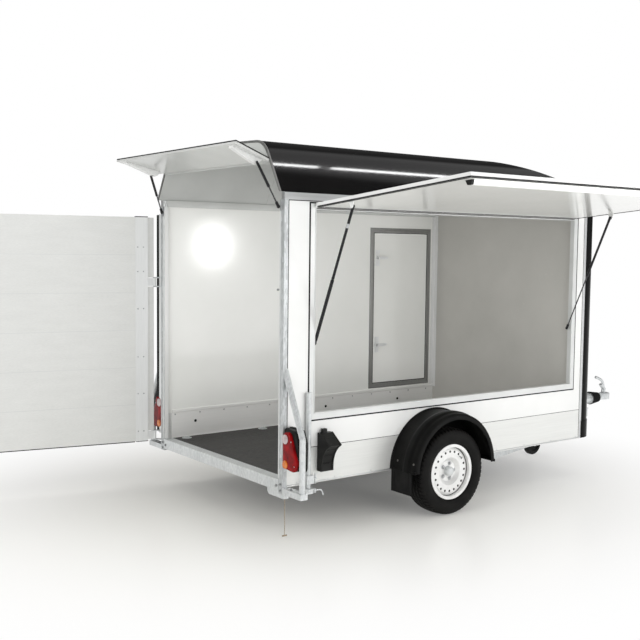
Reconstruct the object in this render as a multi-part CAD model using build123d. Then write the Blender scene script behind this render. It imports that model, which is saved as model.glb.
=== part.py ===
from build123d import *
import math
import os

# Single-axle box trailer with a right-hand sales flap, a rear flap over a side-hung rear door,
# and a personnel door in the left wall. Millimetres.
# Layout axes: X forward from the axle, Y to the left of the centre plane, Z up from the ground.
# The finished pieces are moved so that the origin lies at the centre of the tow ball.

# Load body
BODY_HALF = 835.0
WALL = 34.0
REAR_X = -1290.0
POST_WIDTH = 50.0
POST_DEPTH = 33.0
POST_LOW_Z = 287.0
PANEL_FRONT_X = 1641.0
FRONT_PROFILE = 31.0
FLOOR_Z = 374.0
FLOOR_THICK = 18.0
SILL_DEPTH = 75.0
SILL_HEIGHT = 74.0
SILL_BRACKET = (188.0, 40.0, 42.0)
SILL_BRACKET_OUT = 15.0
SILL_BRACKET_CUT = 18.0
PLANK_LOW_Z = 328.0
PLANK_HEIGHT = 240.0
PLANK_SKIN = 3.0
PLANK_CELLS = 3
RAIL_LOW_Z = 2159.0
RAIL_HEIGHT = 49.0
RAIL_GROOVE = 8.0
FRONT_WALL_X = 1541.0
KICK_HEIGHT = 196.0
KICK_THICK = 4.0
KICK_CAP = 26.0
KICK_CAP_DEPTH = 10.0
PLAY = 0.3

# Roof cap and nose
ROOF_REAR_X = -1320.0
ROOF_BASE_INSET = 2.0
ROOF_RISE = 348.0
ROOF_SHOULDER_INSET = 188.0
ROOF_CAMBER = 16.0
ROOF_SHOULDER_R = 170.0
ROOF_DROP_X = 500.0
ROOF_DROP_R = 3700.0
ROOF_SKIN = 12.0
NOSE_X = 1841.0
NOSE_CORNER_R = 150.0
NOSE_BOW = 30.0
NOSE_SKIN = 8.0
NOSE_LOW_Z = 330.0
GUARD_HEIGHT = 140.0
GUARD_THICK = 5.0
ARCH_THICK = 12.0
ARCH_LAP = 20.0

# Sales hatch in the right wall, with its flap
HATCH_REAR_X = -1044.0
HATCH_FRONT_X = 1510.0
HATCH_LOW_Z = 790.0
HATCH_TOP_Z = 2098.0
HATCH_FRAME = 44.0
HATCH_LIP = 3.0
SIDE_HINGE_OUT = 11.0
SIDE_HINGE_Z = 2120.0
SIDE_FLAP_OPEN = 95.0
SIDE_FLAP_GAP = 8.0
SIDE_FLAP_THICK = 28.0
SIDE_FLAP_LENGTH = 1367.0
SIDE_FLAP_LAP = 13.0
SIDE_FLAP_EDGE = 26.0
HINGE_LEAF = 7.0
FLAP_KNUCKLE_R = 6.0
LEAF_HALF = 4.0
FLAP_KNUCKLE_HALF = 40.0
SIDE_KNUCKLE_XS = (-900.0, 233.0, 1366.0)

# Rear flap, hinged under the crest of the roof
REAR_HINGE_X = -1340.0
REAR_HINGE_DROP = 144.0
REAR_KNUCKLE_YS = (-420.0, 420.0)
REAR_FLAP_OPEN = 104.7
REAR_FLAP_THICK = 20.0
REAR_FLAP_LOW_Z = 2093.0
REAR_FLAP_TOP_INSET = 93.0
REAR_FLAP_LAP = 2.0
STIFFENER_LEAN = 10.0
STIFFENER_THICK = 6.0

# Rear door, hinged on the left post
DOOR_HINGE_X = -1316.0
DOOR_HINGE_OUT = 57.0
DOOR_OPEN = 101.0
DOOR_LOW_Z = 355.0
DOOR_TOP_Z = 2080.0
DOOR_THICK = 30.0
DOOR_GAP = 12.0
DOOR_STILE = 94.0
DOOR_PLANKS = 6
DOOR_HINGE_ZS = (395.0, 1585.0)
HINGE_PLATE = 8.0
KNUCKLE_R = 11.0
KNUCKLE_HALF = 30.0
HINGE_PIN_R = 6.0
LOCK_BAR_R = 9.0
LOCK_BAR_OUT = 14.0
LOCK_END = 15.0
LOCK_KEEPER_INSET = 60.0
LOCK_KEEPER = (44.0, 36.0)
LOCK_MIDDLE_RISE = 120.0
LOCK_GRIP_Z = 1050.0
LOCK_GRIP = 190.0

# Personnel door in the left wall
PASS_REAR_X = 755.0
PASS_FRONT_X = 1485.0
PASS_LOW_Z = 604.0
PASS_TOP_Z = 2048.0
PASS_FRAME = 45.0
PASS_GAP = 6.0
PASS_PIN_OUT = 7.0
PASS_HINGE_ZS = (800.0, 1330.0, 1850.0)
PASS_HINGE_R = 7.0
PASS_HINGE_HALF = 40.0
PASS_HINGE_PLATE = 3.0
PASS_LATCH_ZS = (1000.0, 1780.0)
PASS_LATCH_INSET = 12.0
PASS_LATCH = (46.0, 140.0, 6.0)
PASS_LEVER = 106.0
PASS_LEVER_HALF = 12.0
PASS_LEVER_THICK = 8.0
PASS_LEVER_OUT = 20.0

# Running gear
TYRE_WALL = 111.5
TYRE_HALF = 97.0
WHEEL_OUT = 135.0
RIM_R = 194.5
RIM_HALF = 79.0
RIM_FLANGE = 16.5
RIM_SKIN = 5.0
DISC_OFFSET = 30.0
DISC_THICK = 7.0
WHEEL_HOLES = 20
WHEEL_HOLE_R = 8.5
WHEEL_HOLE_INSET = 38.0
DISC_DISH = 22.0
HUB_R = 72.0
HUB_BORE_R = 33.0
DRUM_R = 112.0
DRUM_HALF = 36.0
STUB_R = 20.0
AXLE_X = 140.0
AXLE_DROP = 68.0
AXLE_SIDE = 76.0
AXLE_OVERHANG = 100.0
ARM_THICK = 60.0
FENDER_R = 390.0
FENDER_X = 14.0
FENDER_Z = 330.0
FENDER_END_Z = 358.0
FENDER_WIDTH = 248.0
FENDER_RIB = 60.0
FENDER_RIB_RISE = 8.0
FENDER_SKIN = 5.0
FENDER_LIP = 42.0
MUDFLAP_HEIGHT = 152.0
MUDFLAP_WIDTH = 205.0
MUDFLAP_GAP = 2.0

# Chassis and drawbar
RAIL_INSET = 235.0
RAIL_WIDTH = 50.0
RAIL_DEPTH = 80.0
RAIL_SKIN = 5.0
CROSS_DEPTH = 70.0
CROSS_WIDTH = 40.0
CROSS_XS = (-800.0, -250.0, 480.0, 1000.0, 1480.0)
DRAWBAR_START_X = 850.0
DRAWBAR_KNEE_X = 1880.0
DRAWBAR_NECK_X = 2420.0
DRAWBAR_END_X = 2720.0
DRAWBAR_END_Y = 60.0
DRAWBAR_RISE = 94.0
DRAWBAR_DEPTH = 70.0
DRAWBAR_WIDTH = 50.0
TOW_X = 3092.0
TOW_Z = 450.0
TOW_BALL_R = 25.05
HEAD_HALF = 44.0
DRAW_TUBE_R = 25.0
HOUSING_R = 38.0
HOUSING_FRONT_X = 2850.0
BELLOWS_FRONT_X = 2975.0
BELLOWS_RIDGES = 6
BELLOWS_LOW_R = 31.0
BELLOWS_HIGH_R = 43.0
LEVER_Y = 66.0
LEVER_HALF = 22.0
LEVER_REACH = 190.0
LEVER_RISE = 188.0
LEVER_GRIP = (72.0, 64.0)
LEVER_GRIP_R = 15.0

# Jockey wheel
JOCKEY_X = 2084.0
JOCKEY_TRAIL = 35.0
JOCKEY_R = 100.0
JOCKEY_HALF = 27.0
JOCKEY_TUBE_R = 30.0
JOCKEY_INNER_R = 24.0
JOCKEY_TOP_Z = 640.0
JOCKEY_LOW_Z = 226.0
JOCKEY_PIN_R = 10.0

# Rear corner fittings
BRACKET_OUT = 183.0
BRACKET_R = 20.0
BRACKET_BEND_Z = 666.0
BRACKET_TOP_Z = 1021.0
BRACKET_TOP_OUT = 14.0
BRACKET_RUN_ON = 1.4
BRACKET_BASE_HEIGHT = 38.0
LAMP_LOW_Z = 452.0
LAMP_TOP_Z = 722.0
LAMP_OUT = 186.0
LAMP_BACK = 18.0
LAMP_LENS = 50.0
LAMP_CROWN = 78.0
PROP_X = -1105.0
PROP_R = 17.0
PROP_LOW_Z = 306.0
PROP_TOP_Z = 930.0
PROP_OUT = 25.0
PROP_FOOT = 14.0
PROP_FOOT_R = 40.0
PROP_CLAMP = 54.0
PROP_CLAMP_RISE = 10.0
PROP_SCREW = 38.0
PROP_SCREW_R = 8.0
PROP_TOGGLE = 34.0
CHOCK_X = -966.0
CHOCK_WIDTH = 100.0
CHOCK_LOW_Z = 405.0
CHOCK_HEIGHT = 252.0
CHOCK_REACH = 130.0
CHOCK_TIP_DROP = 70.0
CHOCK_CREST = 40.0
CHOCK_TOE = 44.0
CHOCK_HOLLOW = (62.0, 112.0)
CHOCK_KNOB = (30.0, 26.0, 28.0)

# Gas struts: pins at rest, measured in the plane of their swing
SIDE_STRUT_CLEAR = 19.0
SIDE_STRUT_INSET = 27.0
SIDE_STRUT_LOW_Z = 1240.0
SIDE_STRUT_REACH = 342.0
SIDE_STRUT_DROP = 35.0
SIDE_STRUT_BARREL = 490.0
SIDE_STRUT_ROD = 515.0
REAR_STRUT_LOW_X = -1306.0
REAR_STRUT_LOW_Z = 2115.0
REAR_STRUT_LOW_INSET = 45.0
REAR_STRUT_TOP_INSET = 12.0
REAR_STRUT_REACH = 80.0
REAR_STRUT_DROP = 46.0
REAR_STRUT_BARREL = 165.0
REAR_STRUT_ROD = 196.0
STRUT_R = 9.0
STRUT_EYE_R = 8.0
STRUT_STUD_R = 5.0
STRUT_LUG_R = 12.0
LUG_CLEAR = 5.0

# Pull cord under the sill
CORD_R = 2.0
CORD_OUT = 3.0
CORD_STOPS = (  # distance behind the sill's rear face, sideways drift, height
    (18.0, 0.0, 257.7),
    (18.0, -1.0, 212.0),
    (16.5, 1.0, 165.0),
    (18.0, -1.5, 118.0),
    (19.0, 0.0, 70.0),
    (18.0, -0.5, 22.0),
)
TOGGLE_R = 5.0
TOGGLE_HALF = 17.0

INNER_HALF = BODY_HALF - WALL
PANEL_REAR_X = REAR_X + POST_DEPTH
FLOOR_LOW_Z = FLOOR_Z - FLOOR_THICK
PLANK_TOP_Z = PLANK_LOW_Z + PLANK_HEIGHT
RAIL_TOP_Z = RAIL_LOW_Z + RAIL_HEIGHT
NOSE_REAR_X = PANEL_FRONT_X + FRONT_PROFILE
FLOOR_REAR_X = REAR_X + SILL_DEPTH
ROOF_BASE_HALF = BODY_HALF - ROOF_BASE_INSET
ROOF_CREST_Z = RAIL_TOP_Z + ROOF_RISE
ROOF_SHOULDER_HALF = BODY_HALF - ROOF_SHOULDER_INSET
ROOF_SHOULDER_Z = ROOF_CREST_Z - ROOF_CAMBER
REAR_HINGE_Z = ROOF_CREST_Z - REAR_HINGE_DROP
REAR_FLAP_LENGTH = REAR_HINGE_Z - HINGE_LEAF - REAR_FLAP_LOW_Z
REAR_FLAP_TOP_HALF = BODY_HALF - REAR_FLAP_TOP_INSET
REAR_FLAP_LOW_HALF = BODY_HALF + REAR_FLAP_LAP
DOOR_HINGE_Y = BODY_HALF + DOOR_HINGE_OUT
WHEEL_Y = BODY_HALF + WHEEL_OUT
TYRE_R = RIM_R + TYRE_WALL
SEAT_R = RIM_R - RIM_FLANGE
WHEEL_HOLE_CIRCLE = SEAT_R - WHEEL_HOLE_INSET
AXLE_Z = TYRE_R - AXLE_DROP
FENDER_EDGE = BODY_HALF + FENDER_WIDTH
BRACKET_Y = BODY_HALF + BRACKET_OUT
RAIL_Y = BODY_HALF - RAIL_INSET
AXLE_HALF = RAIL_Y + AXLE_OVERHANG
SIDE_STRUT_XS = (HATCH_REAR_X + SIDE_STRUT_CLEAR, HATCH_FRONT_X - SIDE_STRUT_CLEAR)
SIDE_STRUT_LOW = (SIDE_STRUT_INSET - BODY_HALF, SIDE_STRUT_LOW_Z)
REAR_STRUT_LOW = (REAR_STRUT_LOW_X, BODY_HALF - REAR_STRUT_LOW_INSET, REAR_STRUT_LOW_Z)
REAR_STRUT_TOP_Y = REAR_FLAP_TOP_HALF - REAR_STRUT_TOP_INSET
CORD_POINTS = [(REAR_X + depth, drift - BODY_HALF - CORD_OUT, z) for depth, drift, z in CORD_STOPS]
SIDES = (("left", 1), ("right", -1))
TO_TOW_BALL = Location((-TOW_X, 0, -TOW_Z))


def block(xs, ys, zs):
    """Box over three spans, each given as its two ends in any order."""
    size = [abs(b - a) for a, b in (xs, ys, zs)]
    middle = [(a + b) / 2 for a, b in (xs, ys, zs)]
    return Pos(*middle) * Box(*size)


def rod(start, end, radius):
    """Round bar between two points."""
    start, end = Vector(*start), Vector(*end)
    return extrude(Plane(start, z_dir=end - start) * Circle(radius), amount=(end - start).length)


def prism(points, direction, length):
    """Flat outline of straight edges, carried along a direction."""
    return extrude(make_face(Polyline(*points, close=True)), amount=length, dir=direction)


def spin(points, axis):
    """Closed outline of straight edges, turned about an axis."""
    return revolve(make_face(Polyline(*points, close=True)), axis=axis)


def both_sides(piece):
    """A right-hand piece and its mirror image, as two solids."""
    return [piece, mirror(piece, about=Plane.XZ)]


def export(name, *pieces):
    """Write one node in the finished frame."""
    solids = [solid for piece in pieces for solid in piece.solids()]
    moved = [TO_TOW_BALL * solid for solid in solids]
    export_step(moved[0] if len(moved) == 1 else Compound(children=moved), f"parts/{name}.step")


def side_flap_pose(piece):
    """Swing a piece of the closed sales flap to its open rest."""
    axis = Axis((0, -BODY_HALF - SIDE_HINGE_OUT, SIDE_HINGE_Z), (1, 0, 0))
    return piece.rotate(axis, -SIDE_FLAP_OPEN)


def rear_flap_pose(piece):
    """Swing a piece of the closed rear flap to its open rest."""
    return piece.rotate(Axis((REAR_HINGE_X, 0, REAR_HINGE_Z), (0, 1, 0)), REAR_FLAP_OPEN)


def rear_door_pose(piece):
    """Swing a piece of the closed rear door to its open rest."""
    return piece.rotate(Axis((DOOR_HINGE_X, DOOR_HINGE_Y, 0), (0, 0, 1)), -DOOR_OPEN)


def nose_plan(inset, rear_x):
    """Body outline seen from above: square at the rear, rounded corners and a bowed front."""
    half = BODY_HALF - inset
    front = NOSE_X - inset
    corner = NOSE_CORNER_R - inset
    tip = front - corner
    outline = [
        Line((rear_x, -half), (tip, -half)),
        RadiusArc((tip, -half), (front, -half + corner), -corner),
        ThreePointArc((front, -half + corner), (front + NOSE_BOW, 0), (front, half - corner)),
        RadiusArc((front, half - corner), (tip, half), -corner),
        Line((tip, half), (rear_x, half)),
        Line((rear_x, half), (rear_x, -half)),
    ]
    return make_face(outline)


def roof_body(inset):
    """Solid under the roof skin: arched section, drop to the front and rounded plan, in common."""
    base = RAIL_TOP_Z
    half, shoulder = ROOF_BASE_HALF - inset, ROOF_SHOULDER_HALF - inset
    top, crest = ROOF_SHOULDER_Z - inset, ROOF_CREST_Z - inset
    section = make_face([
        Line((-half, base), (half, base)),
        Line((half, base), (shoulder, top)),
        ThreePointArc((shoulder, top), (0, crest), (-shoulder, top)),
        Line((-shoulder, top), (-half, base)),
    ])
    corners = section.vertices().sort_by(Axis.Y)[-2:]
    section = fillet(corners, ROOF_SHOULDER_R - inset)
    length = NOSE_X + NOSE_BOW - ROOF_REAR_X
    arched = extrude(Plane.YZ.offset(ROOF_REAR_X) * section, amount=length)
    run = NOSE_X + NOSE_BOW - ROOF_DROP_X
    radius = ROOF_DROP_R - inset
    fall = [radius - math.sqrt(radius ** 2 - reach ** 2) for reach in (run / 2, run)]
    above = crest + 1
    profile = make_face([
        Line((ROOF_REAR_X, base), (ROOF_DROP_X + run, base)),
        Line((ROOF_DROP_X + run, base), (ROOF_DROP_X + run, above - fall[1])),
        ThreePointArc((ROOF_DROP_X + run, above - fall[1]), (ROOF_DROP_X + run / 2, above - fall[0]),
                      (ROOF_DROP_X, above)),
        Line((ROOF_DROP_X, above), (ROOF_REAR_X, above)),
        Line((ROOF_REAR_X, above), (ROOF_REAR_X, base)),
    ])
    dropped = extrude(Plane.XZ * profile, amount=BODY_HALF, both=True)
    rounded = extrude(Pos(0, 0, base) * nose_plan(inset, ROOF_REAR_X), amount=above - base)
    return arched & dropped & rounded


def make_roof():
    """Roof cap as a thin shell, open at the rear, and the arch plate over the rear flap's hinge."""
    hollow = roof_body(ROOF_SKIN)
    shell = roof_body(0) - hollow
    arch_span = (ROOF_REAR_X, ROOF_REAR_X + ARCH_THICK)
    arch = hollow & block(arch_span, (-BODY_HALF, BODY_HALF), (REAR_HINGE_Z - ARCH_LAP, ROOF_CREST_Z))
    for y in REAR_KNUCKLE_YS:
        ys = (y - FLAP_KNUCKLE_HALF, y + FLAP_KNUCKLE_HALF)
        zs = (REAR_HINGE_Z - FLAP_KNUCKLE_R, REAR_HINGE_Z + FLAP_KNUCKLE_R)
        arch += block((REAR_HINGE_X, ROOF_REAR_X), ys, zs)
        arch += rod((REAR_HINGE_X, ys[0], REAR_HINGE_Z), (REAR_HINGE_X, ys[1], REAR_HINGE_Z), FLAP_KNUCKLE_R)
    front_span = (FRONT_WALL_X, FRONT_WALL_X + WALL)
    upper_front = hollow & block(front_span, (-INNER_HALF, INNER_HALF), (RAIL_TOP_Z, ROOF_CREST_Z))
    lower_front = block(front_span, (-INNER_HALF, INNER_HALF), (FLOOR_LOW_Z, RAIL_TOP_Z))
    export("roof", shell)
    export("roof_arch", arch)
    export("wall_front", lower_front + upper_front)


def make_nose():
    """Rounded black nose in front of the flat front wall, with thicker guards low on its corners."""
    height = RAIL_TOP_Z - NOSE_LOW_Z
    outer = extrude(Pos(0, 0, NOSE_LOW_Z) * nose_plan(0, NOSE_REAR_X), amount=height)
    inner = extrude(Pos(0, 0, NOSE_LOW_Z) * nose_plan(NOSE_SKIN, NOSE_REAR_X), amount=height)
    guard = extrude(Pos(0, 0, NOSE_LOW_Z) * nose_plan(-GUARD_THICK, NOSE_REAR_X), amount=GUARD_HEIGHT)
    flat_half = BODY_HALF - NOSE_CORNER_R
    middle = block((NOSE_REAR_X, NOSE_X + 2 * NOSE_BOW), (-flat_half, flat_half),
                   (NOSE_LOW_Z, NOSE_LOW_Z + GUARD_HEIGHT))
    export("nose", outer + (guard - middle) - inner)


def make_side_planks():
    """Hollow aluminium planks along the foot of both side walls."""
    body = block((PANEL_REAR_X, PANEL_FRONT_X), (-INNER_HALF, -BODY_HALF), (PLANK_LOW_Z, PLANK_TOP_Z))
    cell = (PLANK_HEIGHT - PLANK_SKIN) / PLANK_CELLS
    for index in range(PLANK_CELLS):
        low = PLANK_LOW_Z + PLANK_SKIN + index * cell
        body -= block((PANEL_REAR_X, PANEL_FRONT_X), (-INNER_HALF - PLANK_SKIN, -BODY_HALF + PLANK_SKIN),
                      (low, low + cell - PLANK_SKIN))
    export("side_planks", *both_sides(body))


def make_walls():
    """Sandwich side walls with the hatch and the personnel doorway cut through them."""
    sheet = block((PANEL_REAR_X, PANEL_FRONT_X), (INNER_HALF, BODY_HALF), (PLANK_TOP_Z, RAIL_LOW_Z))
    doorway = block((PASS_REAR_X, PASS_FRONT_X), (0, 2 * BODY_HALF), (PASS_LOW_Z, PASS_TOP_Z))
    export("wall_left", sheet - doorway)
    hatch = block((HATCH_REAR_X - HATCH_FRAME, HATCH_FRONT_X + HATCH_FRAME), (0, 2 * BODY_HALF),
                  (HATCH_LOW_Z - HATCH_FRAME, HATCH_TOP_Z + HATCH_FRAME))
    export("wall_right", mirror(sheet - hatch, about=Plane.XZ))


def make_hatch_frame():
    """Aluminium lining of the hatch, with the ball-stud pegs for the lower ends of its struts."""
    ys = (-INNER_HALF, -BODY_HALF - HATCH_LIP)
    ring = block((HATCH_REAR_X - HATCH_FRAME, HATCH_FRONT_X + HATCH_FRAME), ys,
                 (HATCH_LOW_Z - HATCH_FRAME, HATCH_TOP_Z + HATCH_FRAME))
    ring -= block((HATCH_REAR_X, HATCH_FRONT_X), (0, -2 * BODY_HALF), (HATCH_LOW_Z, HATCH_TOP_Z))
    y, z = SIDE_STRUT_LOW
    for face, strut in zip((HATCH_REAR_X, HATCH_FRONT_X), SIDE_STRUT_XS):
        inward = math.copysign(1, strut - face)
        ring += rod((face, y, z), (strut - inward * (STRUT_R + PLAY), y, z), STRUT_STUD_R)
    hinge_y = -BODY_HALF - SIDE_HINGE_OUT
    for x in SIDE_KNUCKLE_XS:
        xs = (x - FLAP_KNUCKLE_HALF, x + FLAP_KNUCKLE_HALF)
        zs = (SIDE_HINGE_Z - FLAP_KNUCKLE_R, SIDE_HINGE_Z + FLAP_KNUCKLE_R)
        ring += block(xs, (-BODY_HALF, hinge_y), zs)
        ring += rod((xs[0], hinge_y, SIDE_HINGE_Z), (xs[1], hinge_y, SIDE_HINGE_Z), FLAP_KNUCKLE_R)
    export("hatch_frame", ring)


def make_edge_profiles():
    """Aluminium profiles: along the top of both walls and up their front edges."""
    top = block((REAR_X, NOSE_REAR_X), (-BODY_HALF, -INNER_HALF), (RAIL_LOW_Z, RAIL_TOP_Z))
    middle = (RAIL_LOW_Z + RAIL_TOP_Z) / 2
    groove = block((REAR_X, NOSE_REAR_X), (-BODY_HALF, -BODY_HALF + RAIL_GROOVE / 2),
                   (middle - RAIL_GROOVE / 2, middle + RAIL_GROOVE / 2))
    front = block((PANEL_FRONT_X, NOSE_REAR_X), (-BODY_HALF, -INNER_HALF), (PLANK_LOW_Z, RAIL_LOW_Z))
    export("edge_profiles", *both_sides(top - groove), *both_sides(front))


def make_rear_portal():
    """Galvanised posts with the rear door's hinge pins, and the sill between them."""
    depth = (REAR_X, REAR_X + POST_DEPTH)
    post = block(depth, (-BODY_HALF, POST_WIDTH - BODY_HALF), (POST_LOW_Z, RAIL_LOW_Z))
    stud_x, _, stud_z = REAR_STRUT_LOW
    stud_y = BODY_HALF - POST_WIDTH + STRUT_EYE_R
    stud = rod((REAR_X, -stud_y, stud_z), (stud_x + STRUT_EYE_R + PLAY, -stud_y, stud_z), STRUT_STUD_R)
    right, left = both_sides(post + stud)
    for z in DOOR_HINGE_ZS:
        for low in (z - KNUCKLE_HALF - HINGE_PLATE - PLAY, z + KNUCKLE_HALF + PLAY):
            pad = Pos(REAR_X + POST_DEPTH / 2, BODY_HALF + KNUCKLE_R) * Circle(KNUCKLE_R)
            arm = make_hull((Pos(DOOR_HINGE_X, DOOR_HINGE_Y) * Circle(KNUCKLE_R) + pad).edges())
            foot = block(depth, (BODY_HALF, BODY_HALF + KNUCKLE_R), (low, low + HINGE_PLATE))
            left += extrude(Pos(0, 0, low) * arm, amount=HINGE_PLATE) + foot
        pin_reach = KNUCKLE_HALF + HINGE_PLATE / 2
        left += rod((DOOR_HINGE_X, DOOR_HINGE_Y, z - pin_reach), (DOOR_HINGE_X, DOOR_HINGE_Y, z + pin_reach),
                    HINGE_PIN_R)
    export("rear_posts", right, left)
    sill_half = BODY_HALF - POST_WIDTH
    sill = block((REAR_X, FLOOR_REAR_X), (-sill_half, sill_half), (FLOOR_Z - SILL_HEIGHT, FLOOR_Z))
    width, depth, height = SILL_BRACKET
    low, top, foot = FLOOR_Z - SILL_HEIGHT - height, FLOOR_Z - SILL_HEIGHT, POST_LOW_Z - PLAY
    near, cut = -BODY_HALF - SILL_BRACKET_OUT, SILL_BRACKET_CUT
    far = near + width
    outline = [(near, foot), (near, low), (far - cut, low), (far, low + cut), (far, top), (-sill_half, top),
               (-sill_half, foot)]
    sill += prism([(REAR_X, y, z) for y, z in outline], (1, 0, 0), depth)
    export("rear_sill", sill)


def make_floor():
    """Plywood floor panel, and beside it the kick plates with a foot below and a cap strip above."""
    edge = INNER_HALF - KICK_CAP_DEPTH
    export("floor", block((FLOOR_REAR_X, FRONT_WALL_X), (-edge, edge), (FLOOR_LOW_Z, FLOOR_Z)))
    cap_z = FLOOR_Z + KICK_HEIGHT
    profile = (  # distance from the wall, height
        (0, FLOOR_LOW_Z),
        (KICK_CAP_DEPTH, FLOOR_LOW_Z),
        (KICK_CAP_DEPTH, FLOOR_Z),
        (KICK_THICK, FLOOR_Z),
        (KICK_THICK, cap_z),
        (KICK_CAP_DEPTH, cap_z + KICK_THICK),
        (KICK_CAP_DEPTH, cap_z + KICK_CAP - KICK_THICK),
        (KICK_THICK, cap_z + KICK_CAP),
        (0, cap_z + KICK_CAP),
    )
    outline = [(FLOOR_REAR_X, depth - INNER_HALF, z) for depth, z in profile]
    plate = prism(outline, (1, 0, 0), FRONT_WALL_X - FLOOR_REAR_X)
    export("kick_plates", *both_sides(plate))


def make_chassis():
    """Two channel rails, cross-members between them, and the rubber-sprung axle with its trailing arms."""
    top = FLOOR_LOW_Z
    front_x = FRONT_WALL_X + WALL
    outer = RAIL_Y + RAIL_WIDTH / 2
    inner = RAIL_Y - RAIL_WIDTH / 2
    rail = block((FLOOR_REAR_X, front_x), (-outer, -inner), (top - RAIL_DEPTH, top))
    rail -= block((FLOOR_REAR_X, front_x), (-outer + RAIL_SKIN, -inner + RAIL_SKIN),
                  (top - RAIL_DEPTH + RAIL_SKIN, top - RAIL_SKIN))
    export("chassis_rails", *both_sides(rail))
    members = []
    for x in CROSS_XS:
        beam = block((x, x + CROSS_WIDTH), (-inner + RAIL_SKIN, inner - RAIL_SKIN), (top - CROSS_DEPTH, top))
        members.append(beam - block((x + RAIL_SKIN, x + CROSS_WIDTH - RAIL_SKIN), (-outer, outer),
                                    (top - CROSS_DEPTH, top - RAIL_SKIN)))
    export("cross_members", *members)
    half = AXLE_SIDE / 2
    tube = block((AXLE_X - half, AXLE_X + half), (-AXLE_HALF, AXLE_HALF), (AXLE_Z - half, AXLE_Z + half))
    arm_face = make_hull((Pos(AXLE_X, AXLE_Z) * Circle(half) + Pos(0, TYRE_R) * Circle(STUB_R + 12)).edges())
    for side in (1, -1):
        arm = extrude(Plane.XZ * arm_face, amount=-side * ARM_THICK)
        tube += Pos(0, side * AXLE_HALF, 0) * arm
        stub_start, stub_end = AXLE_HALF + ARM_THICK / 2, WHEEL_Y + DISC_OFFSET - STUB_R
        tube += rod((0, side * stub_start, TYRE_R), (0, side * stub_end, TYRE_R), STUB_R)
    export("axle", tube)


def make_drawbar():
    """Two cranked arms that meet under the coupling, with the cross-channel that holds the jockey tube."""
    low = FLOOR_LOW_Z - RAIL_DEPTH - DRAWBAR_DEPTH
    length = math.hypot(DRAWBAR_END_X - DRAWBAR_START_X, RAIL_Y - DRAWBAR_END_Y)
    slant = math.atan2(RAIL_Y - DRAWBAR_END_Y, DRAWBAR_END_X - DRAWBAR_START_X)
    knee, neck = [(x - DRAWBAR_START_X) / math.cos(slant) for x in (DRAWBAR_KNEE_X, DRAWBAR_NECK_X)]
    line = [(0, low), (knee, low), (neck, low + DRAWBAR_RISE), (length, low + DRAWBAR_RISE)]
    outline = [(u, 0, z) for u, z in line] + [(u, 0, z + DRAWBAR_DEPTH) for u, z in reversed(line)]
    arm = Pos(0, -DRAWBAR_WIDTH / 2, 0) * prism(outline, (0, 1, 0), DRAWBAR_WIDTH)
    right = Pos(DRAWBAR_START_X, -RAIL_Y, 0) * Rot(0, 0, math.degrees(slant)) * arm
    frame = right + mirror(right, about=Plane.XZ)
    share = (JOCKEY_X - DRAWBAR_KNEE_X) / (DRAWBAR_NECK_X - DRAWBAR_KNEE_X)
    middle_z = low + DRAWBAR_DEPTH / 2 + DRAWBAR_RISE * share
    reach = RAIL_Y - (JOCKEY_X - DRAWBAR_START_X) * math.tan(slant)
    channel = block((JOCKEY_X - 55, JOCKEY_X + 55), (-reach, reach), (middle_z - 25, middle_z + 25))
    bore_low, bore_top = middle_z - DRAWBAR_DEPTH, middle_z + DRAWBAR_DEPTH
    bore = rod((JOCKEY_X, 0, bore_low), (JOCKEY_X, 0, bore_top), JOCKEY_TUBE_R + PLAY)
    export("drawbar", frame + channel - bore)
    return low + DRAWBAR_RISE + DRAWBAR_DEPTH


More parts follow.
